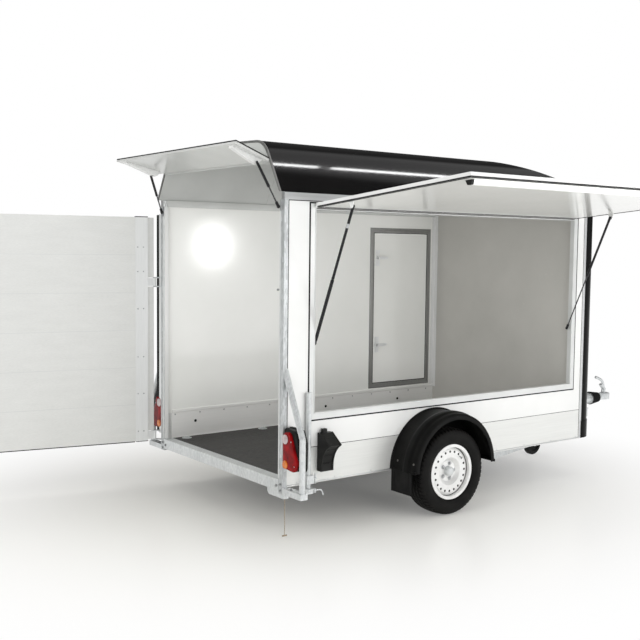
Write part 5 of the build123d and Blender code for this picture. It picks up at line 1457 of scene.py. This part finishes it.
@dataclass
class Drawbar:
    """Bellows, grips, bolts and clamps from the coupling back to the axle.

    Args:
        tow_z: Height of the draw tube in millimetres.
        bellows: Rear and front end of the bellows along X.
        jockey_x: Jockey post along X.
        rail_y: Distance of the chassis rails from the centre plane.
    """

    tow_z: float = 450.0
    bellows: tuple[float, float] = (2848.0, 2978.0)
    jockey_x: float = 2084.0
    rail_y: float = 600.0

    def folds(self) -> Surface:
        """Rubber bellows: a radius of 58 falling to 40 with six cosine folds, turned about X round a bore."""
        share = np.linspace(0, 1, 61)
        radius = 58 - 18 * share - 6 * np.cos(12 * math.pi * share)
        distance = (self.bellows[1] - self.bellows[0]) * share
        profile = np.vstack([np.stack([distance, radius], 1), [(distance[-1], 26.0), (0.0, 26.0)]]) / MM
        return Surface.lathe(profile, lay(self.bellows[0], 0, self.tow_z), X, 40)

    def bands(self) -> Surface:
        """Steel bands round both ends of the bellows."""
        ring = np.array([(-4, 30), (-4, 1), (-3, 2.5), (3, 2.5), (4, 1), (4, 30)])
        parts = []
        for x, radius in zip((self.bellows[0] + 3, self.bellows[1] - 3), (52.0, 34.5)):
            profile = np.stack([ring[:, 0], np.where(ring[:, 1] < 10, radius + ring[:, 1], 26.0)], 1) / MM
            parts.append(Surface.lathe(profile, lay(x, 0, self.tow_z), X, 40))
        return Surface.joined(parts)

    def handle(self) -> Surface:
        """Curved coupling handle: an oval profile carried up from the head and back over the bellows."""
        share = np.linspace(0, 1, 24)[:, None]
        ends = [np.array(point)
                for point in ((3048.0, 494.0), (3100.0, 588.0), (3030.0, 622.0), (2938.0, 646.0))]
        weights = ((1 - share) ** 3, 3 * share * (1 - share) ** 2, 3 * share ** 2 * (1 - share), share ** 3)
        path = sum(weight * end for weight, end in zip(weights, ends))
        return Surface.sweep(oval(13.0, 8.0, angles(20)), spread(path[:, 0], 0.0, path[:, 1]), Y)

    def grips(self) -> Surface:
        """Black grips: ribbed on the brake lever, plain on the jockey crank."""
        share = np.linspace(0, 1, 41)
        ripple = 17.0 + 1.2 * np.cos(16 * math.pi * share)
        start, end = lay(2372, 72, 645), lay(2304, 72, 705.5)
        length = np.linalg.norm(end - start)
        body = np.vstack([[(0.0, 0.0)], np.stack([share * length, ripple / MM], 1), [(length, 0.0)]])
        lever = Surface.lathe(body, start, unit(end - start), 20)
        knob = np.array([(0, 0), (0, 12.5), (3, 14), (60, 15), (72, 13), (78, 8), (80, 0)]) / MM
        return Surface.joined([lever, Surface.lathe(knob, lay(1962, 0, 668), Z, 20)])

    def bolts(self) -> Surface:
        """Bolts of the overrun base, the axle plates and the jockey clamp."""
        base = [hex_bolt(lay(x, y, 382.0), Z, BOLT_10) for x in (2500.0, 2690.0) for y in (-76.0, 76.0)]
        plates = [hex_bolt(lay(x, side * (self.rail_y + 31), z), side * Y, BOLT_10)
                  for side in (-1, 1) for x in (92.0, 188.0) for z in (222.0, 304.0)]
        return Surface.joined(base + plates + [hex_bolt(lay(self.jockey_x + 46, 0, 322), X, BOLT_8)])

    def plates(self) -> Surface:
        """Bracket plates that tie the axle tube to the chassis rails, one each side of both rails."""
        return Surface.joined([Surface.slab((72, y, 200), (208, y + 6, 326), 1.5)
                               for y in (self.rail_y + 25, self.rail_y - 31)]).both()

    def clamp(self) -> Surface:
        """Clamp ring and ear that hold the jockey post, and the T-handle of its screw."""
        ring = np.array([(0, 30.6), (0, 37), (2, 39), (34, 39), (36, 37), (36, 30.6)]) / MM
        ear = Surface.slab((self.jockey_x + 34, -16, 306), (self.jockey_x + 46, 16, 336), 2.0)
        stem = np.array([(0, 0), (0, 6), (62, 6), (64, 4), (64, 0)]) / MM
        tee = np.array([(-34, 0), (-34, 4), (-32, 5.5), (32, 5.5), (34, 4), (34, 0)]) / MM
        return Surface.joined([Surface.lathe(ring, lay(self.jockey_x, 0, 303), Z, 36), ear,
                               Surface.lathe(stem, lay(self.jockey_x, -38, 321), -Y, 14),
                               Surface.lathe(tee, lay(self.jockey_x, -98, 321), Z, 14)])

    def brake_rod(self) -> Surface:
        """Brake rod from overrun housing to axle: a round profile along a path past the jockey post."""
        stops = ((2455, 40, 424), (2300, 44, 374), (2150, 47, 328), (2020, 47, 316), (1900, 46, 284),
                 (1800, 45, 262), (1200, 45, 258), (190, 45, 250))
        return Surface.sweep(oval(5.0, 5.0, angles(10)), lay(*stops), Z)

    def fork_nuts(self) -> Surface:
        """Lock nuts on both ends of the jockey wheel's pin."""
        return Surface.joined([hex_bolt(lay(self.jockey_x - 35, side * 37.8, 100), side * Y, 0.016)
                               for side in (-1, 1)])

    def build(self) -> None:
        """All the pieces, coupling first."""
        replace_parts(self.folds().piece("bellows_folds", BLACK_RUBBER, "chassis", "rubber"), "bellows")
        fit("chassis",
            (self.bands(), "bellows_bands", BOLT_STEEL, "galvanised"),
            (self.handle(), "coupling_handle_grip", ZINC, "galvanised"),
            (self.grips(), "lever_grips", BLACK_PLASTIC, "black_plastic"),
            (self.bolts(), "drawbar_bolts", BOLT_STEEL, "galvanised"),
            (self.plates(), "axle_plates", ZINC, "galvanised"),
            (self.clamp(), "jockey_clamp", ZINC, "galvanised"),
            (self.brake_rod(), "brake_rod", ZINC, "galvanised"))
        fit("jockey_fork", (self.fork_nuts(), "jockey_fork_nuts", BOLT_STEEL, "galvanised"))


@dataclass
class RearDoor:
    """Caps, rivets, beads, joints, flanges and seal of the plank door, laid out on the closed door.

    Args:
        inner_x: Inner face of the door in millimetres.
        outer_x: Outer face of the door.
        low_z: Foot of the door.
        top_z: Head of the door.
        planks: Number of planks.
        clasps: Inner edges of the left and the right stile.
        columns: Places of the rivets' columns.
    """

    inner_x: float = -1302.0
    outer_x: float = -1332.0
    low_z: float = 355.0
    top_z: float = 2080.0
    planks: int = 6
    clasps: tuple[float, float] = (741.0, -738.0)
    columns: tuple[float, ...] = (757.0, 801.0, -754.0, -798.0)

    def caps(self) -> Surface:
        """Black end caps on both ends of both stiles, with a soft top."""
        parts = [Surface.slab((self.outer_x - 0.8, y0, z0), (self.inner_x + 0.8, y1, z1), 1.5)
                 for y0, y1 in ((740.0, 836.0), (-833.0, -737.0))
                 for z0, z1 in ((self.top_z - 1.0, self.top_z + 6.0), (self.low_z - 5.0, self.low_z + 1.0))]
        return Surface.joined(parts)

    def rivets(self) -> Surface:
        """Two columns of rivets on each stile, on both faces, where the planks are fixed."""
        heights = self.low_z + (self.top_z - self.low_z) * np.array([0.045, 0.215, 0.38, 0.595, 0.76, 0.868])
        spots = np.array([(y, z) for y in self.columns for z in heights])
        inner = rivet(np.zeros(3), X, 0.0055).copies(spread(self.inner_x, spots[:, 0], spots[:, 1]))
        outer = rivet(np.zeros(3), -X, 0.0055).copies(spread(self.outer_x, spots[:, 0], spots[:, 1]))
        return Surface.joined([inner, outer])

    def lips(self) -> Surface:
        """Narrow beads on both faces where the stiles clasp the planks."""
        beads = [Surface.slab((x - 1.5, y - 3, self.low_z + 2), (x + 1.5, y + 3, self.top_z - 2), 1.0)
                 for x in (self.inner_x, self.outer_x) for y in self.clasps]
        return Surface.joined(beads)

    def flanges(self) -> Surface:
        """Zinc-plated hinge flanges beside the left stile, in two lengths."""
        return Surface.joined([Surface.slab((-1319, 834, low), (-1313, 884, high), 1.2)
                               for low, high in ((431, 1550), (1620, 2078))])

    def joints(self) -> Surface:
        """Dark joints between the planks, on both faces."""
        heights = self.low_z + (self.top_z - self.low_z) / self.planks * np.arange(1, self.planks)
        left, right = self.clasps
        lines = [Surface.slab((x - 0.6, right, z - 1.6), (x + 0.6, left, z + 1.6), 0.2)
                 for x in (self.inner_x, self.outer_x) for z in heights]
        return Surface.joined(lines)

    def hinge_bolts(self) -> Surface:
        """Two bolts through each hinge plate, on the outer face of the left stile."""
        return Surface.joined([hex_bolt(lay(self.outer_x - 0.4, y, z), -X, 0.012) for z in (395.0, 1585.0)
                               for y in (770.0, 812.0)])

    def seal(self) -> Surface:
        """Rubber lip along the foot of the door."""
        return Surface.slab((self.inner_x - 12, -730, self.low_z - 8),
                            (self.inner_x - 6, 733, self.low_z + 2), 1.0)

    def build(self) -> None:
        """Open each piece with the door."""
        DOOR_HINGE.fit(
            "rear_door",
            (self.caps(), "stile_caps", BLACK_PLASTIC, "black_plastic"),
            (self.rivets(), "stile_rivets", BOLT_STEEL, "aluminium"),
            (self.lips(), "stile_beads", ALUMINIUM_Z, "aluminium"),
            (self.seal(), "door_foot_seal", BLACK_RUBBER, "rubber"),
            (self.flanges(), "door_hinge_flanges", PLANK_ALUMINIUM, "aluminium"),
            (self.joints(), "door_plank_joints", TRIM_GREY, "aluminium"),
            (self.hinge_bolts(), "door_hinge_bolts", BOLT_STEEL, "galvanised"))


@dataclass
class FlapTrim:
    """Rubbers, joints, a sheet of painted light on the inner face, light-bar fittings and boxes of both flaps,
    laid out on the closed flaps.

    Args:
        inner_y: Inner face of the sales flap in millimetres.
        outer_y: Outer face of the sales flap.
    """

    inner_y: float = -843.0
    outer_y: float = -871.0

    def side_gasket(self) -> Surface:
        """Bulb rubber round the sales flap's inner face: a rounded profile along a mitred rectangle."""
        corners = rectangle(-1052.0, 751.0, 1518.0, 2108.0)
        profile = np.array([(-7.0, 0.0), (0.0, 0.0), (0.6, 2.0), (-3.5, 3.6), (-7.6, 2.0)])
        return Surface.band(corners, profile, lay(0, self.inner_y, 0), X, Z, Y)

    def side_joint(self) -> Surface:
        """Dark joint between the flap's panel and its edge frame on both faces."""
        corners = rectangle(-1031.0, 772.0, 1497.0, 2087.0)
        profile = np.array([(-2.5, -1.5), (1.5, -1.5), (1.5, 0.3), (-2.5, -0.4)])
        inner = Surface.band(corners, profile, lay(0, self.inner_y, 0), X, Z, Y)
        outer = Surface.band(corners, profile, lay(0, self.outer_y, 0), X, Z, -Y)
        return Surface.joined([inner, outer])

    def side_edge(self) -> Surface:
        """Black rubber along the inner half of the sales flap's two ends and its free edge."""
        ends = [Surface.slab((x - 1.8, -843.2, 746.0), (x + 1.8, -850.5, 2100.0), 0.6)
                for x in (-1057.0, 1523.0)]
        return Surface.joined([*ends, Surface.slab((-1057.0, -843.2, 744.2), (1523.0, -850.5, 747.8), 0.6)])

    def side_painted_light(self) -> Surface:
        """Sheet of painted light over the sales flap's inner face, inside its joint line."""
        return Surface.slab((-1028.0, -844.0, 775.0), (1494.0, -842.3, 2084.0), 0.4)

    def lamp_ends(self) -> Surface:
        """End caps of the light bar, a little larger than the bar."""
        profile = np.array([(-844.0, 802.0), (-816.0, 810.5), (-815.0, 840.0), (-844.0, 854.0)])
        outline = rounded_outline(profile, 4.0, 40)
        spans = np.array([(-990.0, -972.0), (1438.0, 1456.0)])[..., None]
        return Surface.joined([Surface.loft(spread(span, outline[None, :, 0], outline[None, :, 1]))
                               for span in spans])

    def lamp_clips(self) -> Surface:
        """Spring clips that hold the light bar to the flap's frame."""
        clips = [Surface.slab((x - 9, -845, 800), (x + 9, -838, 858), 1.5)
                 for x in (-700.0, -100.0, 560.0, 1160.0)]
        return Surface.joined(clips)

    def hinge_screws(self) -> Surface:
        """Screws along the sales flap's hinge edge."""
        xs = np.arange(-1000.0, 1500.0, 208.0)
        return rivet(np.zeros(3), Y, 0.0045).copies(spread(xs, self.inner_y, 2100.0))

    def rear_edge(self) -> Surface:
        """Narrow black edge rubber round the rear flap: a square profile along the mitred trapezoid."""
        corners = np.array([(-837.0, 2093.0), (837.0, 2093.0), (742.0, 2405.0), (-742.0, 2405.0)])
        profile = np.array([(-6.0, -1.4), (1.6, -1.4), (1.6, 6.0), (-0.5, 6.0), (-6.0, 0.4)])
        return Surface.band(corners, profile, lay(-1345, 0, 0), Y, Z, X)

    def rear_boxes(self) -> Surface:
        """Folded boxes along the rear flap's stiffeners: an oblong that deepens towards the hinge."""
        profile = np.array([(0.0, 0.0), (44.0, 0.0), (44.0, 0.9), (41.0, 1.0), (3.0, 1.0), (0.0, 0.9)])
        low, high = np.array([-764.0, 2118.0]), np.array([-705.0, 2366.0])
        height = np.array([2118.0, 2121.0, 2314.0, 2350.0, 2366.0])[:, None]
        depth = np.array([2.0, 12.0, 39.0, 39.0, 14.0])[:, None]
        path = low + (height - low[1]) / (high[1] - low[1]) * (high - low)
        return Surface.loft(spread(-1325.0 + profile[None, :, 1] * depth, path[:, :1] + profile[None, :, 0],
                                   path[:, 1:])).both()

    def build(self) -> None:
        """Open each piece with its flap."""
        SIDE_HINGE.fit(
            "side_flap",
            (self.side_gasket(), "side_flap_gasket", BLACK_RUBBER, "rubber"),
            (self.side_joint(), "side_flap_joints", TRIM_GREY, "rubber"),
            (self.side_edge(), "side_flap_edge", BLACK_RUBBER, "rubber"),
            # painted light: a brighter sheet over the flap's shaded underside
            (self.side_painted_light(), "side_flap_painted_light", WHITE_PAINTED_LIGHT, "white_panel"),
            (self.lamp_ends(), "light_bar_ends", BLACK_PLASTIC, "black_plastic"),
            (self.lamp_clips(), "light_bar_clips", ALUMINIUM_X, "aluminium"),
            (self.hinge_screws(), "side_hinge_screws", BOLT_STEEL, "aluminium"))
        REAR_HINGE.fit(
            "rear_flap",
            (self.rear_edge(), "rear_flap_edge", BLACK_RUBBER, "rubber"),
            (self.rear_boxes(), "rear_flap_boxes", WALL_WHITE, "white_panel"))


@dataclass
class Struts:
    """Sockets, collars, dust sleeve and ring of the gas struts.

    Args:
        side_top: Upper pin of the side struts along Y and Z, in millimetres, at rest.
        side_low: Lower pin of the side struts.
        side_xs: Places of the side struts along X.
        rear_top: Upper pin of the rear struts at rest, right side.
        rear_low: Lower pin of the rear struts, right side.
        side_barrel: Length of the side barrels.
        rear_barrel: Length of the rear barrels.
        ring_place: Distance of the bright ring from the upper pin.
    """

    side_top: tuple[float, float] = (-1189.75, 2114.94)
    side_low: tuple[float, float] = (-808.0, 1240.0)
    side_xs: tuple[float, float] = (-1025.0, 1491.0)
    rear_top: tuple[float, float, float] = (-1429.05, -730.0, 2387.81)
    rear_low: tuple[float, float, float] = (-1306.0, -790.0, 2115.0)
    side_barrel: float = 490.0
    rear_barrel: float = 165.0
    ring_place: float = 128.0

    @staticmethod
    def socket(pin: Array, towards: Array) -> Surface:
        """Plastic socket at a strut's end, turned about the strut: a round head and a hollow neck.

        Args:
            pin: Middle of the strut's eye.
            towards: Middle of the other eye.

        Returns:
            The socket.
        """
        axis = unit(towards - pin)
        profile = np.array([(-11, 0), (-11, 5), (-8, 9.5), (-2, 11), (6, 11), (10, 9.8), (30, 9.8), (33, 8.5),
                            (33, 6.5), (12, 6.5), (12, 0)])
        return Surface.lathe(profile / MM, pin, axis, 20)

    @staticmethod
    def collar(top: Array, low: Array, reach: float) -> Surface:
        """Rolled end of a barrel with its wiper, where the rod comes out."""
        axis = unit(low - top)
        profile = np.array([(-14, 8.6), (-12, 9.8), (-5, 9.8), (-3, 9.2), (0, 9.6), (4, 8.8), (6, 5.6),
                            (-14, 5.6)]) / MM
        return Surface.lathe(profile, top + axis * reach / MM, axis, 20)

    @staticmethod
    def sleeve(low: Array, top: Array) -> Surface:
        """Dust sleeve on a rod's foot, wide enough to slide over the barrel, turned about the strut."""
        axis = unit(top - low)
        profile = np.array([(26, 10.1), (26, 11.2), (452, 11.2), (455, 10.8), (455, 10.1)]) / MM
        return Surface.lathe(profile, low, axis, 24)

    @staticmethod
    def ring(top: Array, low: Array, reach: float) -> Surface:
        """Bright sleeve round a barrel, 30 mm long, turned about the strut."""
        axis = unit(low - top)
        profile = np.array([(-15, 8.6), (-14, 9.7), (14, 9.7), (15, 8.6), (15, 6.0), (-15, 6.0)]) / MM
        return Surface.lathe(profile, top + axis * reach / MM, axis, 24)

    def build(self) -> None:
        """Fit each end to its barrel or rod."""
        side_tops = [lay(x, *self.side_top) for x in self.side_xs]
        side_lows = [lay(x, *self.side_low) for x in self.side_xs]
        rear_tops = [lay(*self.rear_top), lay(*self.rear_top) * MIRROR]
        rear_lows = [lay(*self.rear_low), lay(*self.rear_low) * MIRROR]
        sides, rears = list(zip(side_tops, side_lows)), list(zip(rear_tops, rear_lows))
        uppers = [self.socket(top, low) for top, low in sides]
        uppers += [self.collar(top, low, self.side_barrel) for top, low in sides]
        lowers = [self.socket(low, top) for top, low in sides] + [self.sleeve(side_lows[0], side_tops[0])]
        collars = [self.collar(top, low, self.rear_barrel) for top, low in rears]
        ring = self.ring(*sides[0], self.ring_place)
        fit("side_strut_barrels",
            (Surface.joined(uppers), "side_strut_sockets", STRUT_BLACK, "strut_black"),
            (ring, "side_strut_rings", BOLT_STEEL, "strut_rod"))
        fit("side_strut_rods", (Surface.joined(lowers), "side_rod_sockets", STRUT_BLACK, "strut_black"))
        fit("rear_strut_barrels", (Surface.joined(collars), "rear_strut_collars", STRUT_BLACK, "strut_black"))
        for side, (top, low) in zip(("right", "left"), rears):
            socket = self.socket(low, top)
            socket.piece(f"rear_rod_socket_{side}", STRUT_BLACK, f"rear_strut_rod_{side}", "strut_black")


@dataclass
class Interior:
    """Corner angle, ceiling strips, kick-plate fixings and lashing eyes inside the box.

    Args:
        wall_y: Distance of the inner faces from the centre plane in millimetres.
        front_x: Inner face of the front wall.
        floor_z: Height of the floor.
    """

    wall_y: float = 801.0
    front_x: float = 1541.0
    floor_z: float = 374.0

    def corner_angle(self) -> Surface:
        """Rolled angle up the left front corner: an L with a cove between its legs, carried upwards."""
        legs = np.array([(0.0, 0.0), (0.0, 38.0), (1.2, 39.0), (3.0, 38.0), (3.0, 9.0), (5.0, 5.0),
                         (9.0, 3.0), (38.0, 3.0), (39.0, 1.2), (38.0, 0.0)])
        heights = np.array([572.0, 2200.0])
        return Surface.loft(spread(self.front_x - legs[None, :, 0], self.wall_y - legs[None, :, 1],
                                   heights[:, None]))

    def ceiling_angles(self) -> Surface:
        """Cover strips along the inside of both rails, over the joint with the lining."""
        profile = np.array([(0.0, 0.0), (0.0, 50.0), (4.0, 50.0), (6.0, 44.0), (6.0, 6.0), (4.0, 0.0)])
        xs = np.array([-1256.0, self.front_x])
        return Surface.loft(spread(xs[:, None], self.wall_y - profile[None, :, 0],
                                   2159.0 + profile[None, :, 1])).both()

    def screws(self) -> Surface:
        """Countersunk screws along the kick plates' caps on both walls."""
        xs = np.arange(-1192.0, 1500.0, 220.0)
        return rivet(np.zeros(3), -Y, 0.006).copies(spread(xs, self.wall_y - 10.0, 557.0)).both()

    def plugs(self) -> Surface:
        """Dark round plugs in the kick plates: a rim, a dish and a slot's dimple, turned about Y."""
        shape = np.array([(0, 0), (0, 11), (1.5, 11.5), (2.5, 10.5), (1.2, 9), (1.0, 4), (2.0, 2),
                          (2.0, 0)]) / MM
        xs = np.array([-1010.0, -187.0, 277.0, 1100.0])
        return Surface.lathe(shape, np.zeros(3), -Y, 22).copies(spread(xs, self.wall_y - 4.0, 490.0)).both()

    def eyes(self) -> Surface:
        """Lashing eyes let into the floor beside the walls: a ring laid in a pressed dish."""
        turn, wire_turn = angles(32)[:, None], angles(10)[None, :]
        spots = [(x, side * 735.0) for x in (-1120.0, -416.0, 300.0, 1300.0) for side in (-1.0, 1.0)]
        wire, reach = 4.0, 21.0
        away = reach + wire * np.cos(wire_turn)
        ring = spread(away * np.cos(turn), away * np.sin(turn), 5.0 + wire * np.sin(wire_turn))
        loop = Surface.grid(ring - AXLE_GROUND, wrap_rows=True, wrap_columns=True)
        profile = np.array([(0, 0), (0, 38), (2.0, 38), (2.6, 36), (1.0, 33), (0.8, 10), (2.2, 6),
                            (2.2, 0)]) / MM
        dish = Surface.lathe(profile, np.zeros(3), Z, 32)
        return Surface.joined([loop, dish]).copies(lay(*[(x, y, self.floor_z) for x, y in spots]))

    def build(self) -> None:
        """All the box's inner fittings."""
        fit("chassis",
            (self.corner_angle(), "corner_angle", WALL_WHITE, "aluminium"),
            (self.ceiling_angles(), "ceiling_strips", LINING_GREY, "aluminium"),
            (self.screws(), "kick_plate_screws", BOLT_STEEL, "galvanised"),
            (self.plugs(), "kick_plate_plugs", BLACK_PLASTIC, "black_plastic"),
            (self.eyes(), "lashing_eyes", ZINC, "galvanised"))


@dataclass
class PassDoor:
    """Gaskets and frame bead of the small door in the left wall.

    Args:
        inner_y: Inner face of the wall in millimetres.
        outer_y: Outer face of the wall.
    """

    inner_y: float = 801.0
    outer_y: float = 835.0

    def gasket(self) -> Surface:
        """Rubber round the leaf on both faces, in the gap to the frame."""
        corners = rectangle(800.0, 649.0, 1440.0, 2003.0)
        profile = np.array([(-4.0, -8.0), (0.5, -8.0), (0.5, 0.4), (-1.5, 1.0), (-4.0, 0.2)])
        inner = Surface.band(corners, profile, lay(0, self.inner_y, 0), X, Z, -Y)
        outer = Surface.band(corners, profile, lay(0, self.outer_y, 0), X, Z, Y)
        return Surface.joined([inner, outer])

    def bead(self) -> Surface:
        """Rounded bead on the frame's inner face."""
        corners = rectangle(768.0, 617.0, 1472.0, 2035.0)
        profile = np.array([(-8.0, 0.0), (8.0, 0.0), (6.0, 3.0), (0.0, 4.6), (-6.0, 3.0)])
        return Surface.band(corners, profile, lay(0, self.inner_y - 1, 0), X, Z, -Y)

    def build(self) -> None:
        """Frame pieces on the wall."""
        fit("chassis",
            (self.gasket(), "pass_door_gasket", BLACK_RUBBER, "rubber"),
            (self.bead(), "pass_frame_bead", FRAME_GREY, "aluminium"))


@dataclass
class Solids:
    """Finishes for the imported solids.

    Args:
        nodes: Objects by node name.
    """

    nodes: dict[str, bpy.types.Object]

    def dress(self) -> None:
        """Give each solid the material of its finish."""
        for finish, names in NODE_FINISHES.items():
            for name in names:
                slots = self.nodes[name].data.materials
                slots.clear()
                slots.append(finish.material())
                LOG.info("%s: %s", name, finish.name)


def main() -> None:
    """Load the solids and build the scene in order."""
    logging.basicConfig(level=logging.INFO, format="%(message)s")
    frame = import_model()
    Studio().build()
    PullCord().build()
    Solids(frame["nodes"]).dress()
    RoadWheels().build()
    RoofInside().build()
    BodySeams().build()
    TailLamps().build()
    Fenders().build()
    RearPortal().build()
    Chock().build()
    Drawbar().build()
    RearDoor().build()
    FlapTrim().build()
    Struts().build()
    Interior().build()
    PassDoor().build()


if __name__ == "__main__":
    main()
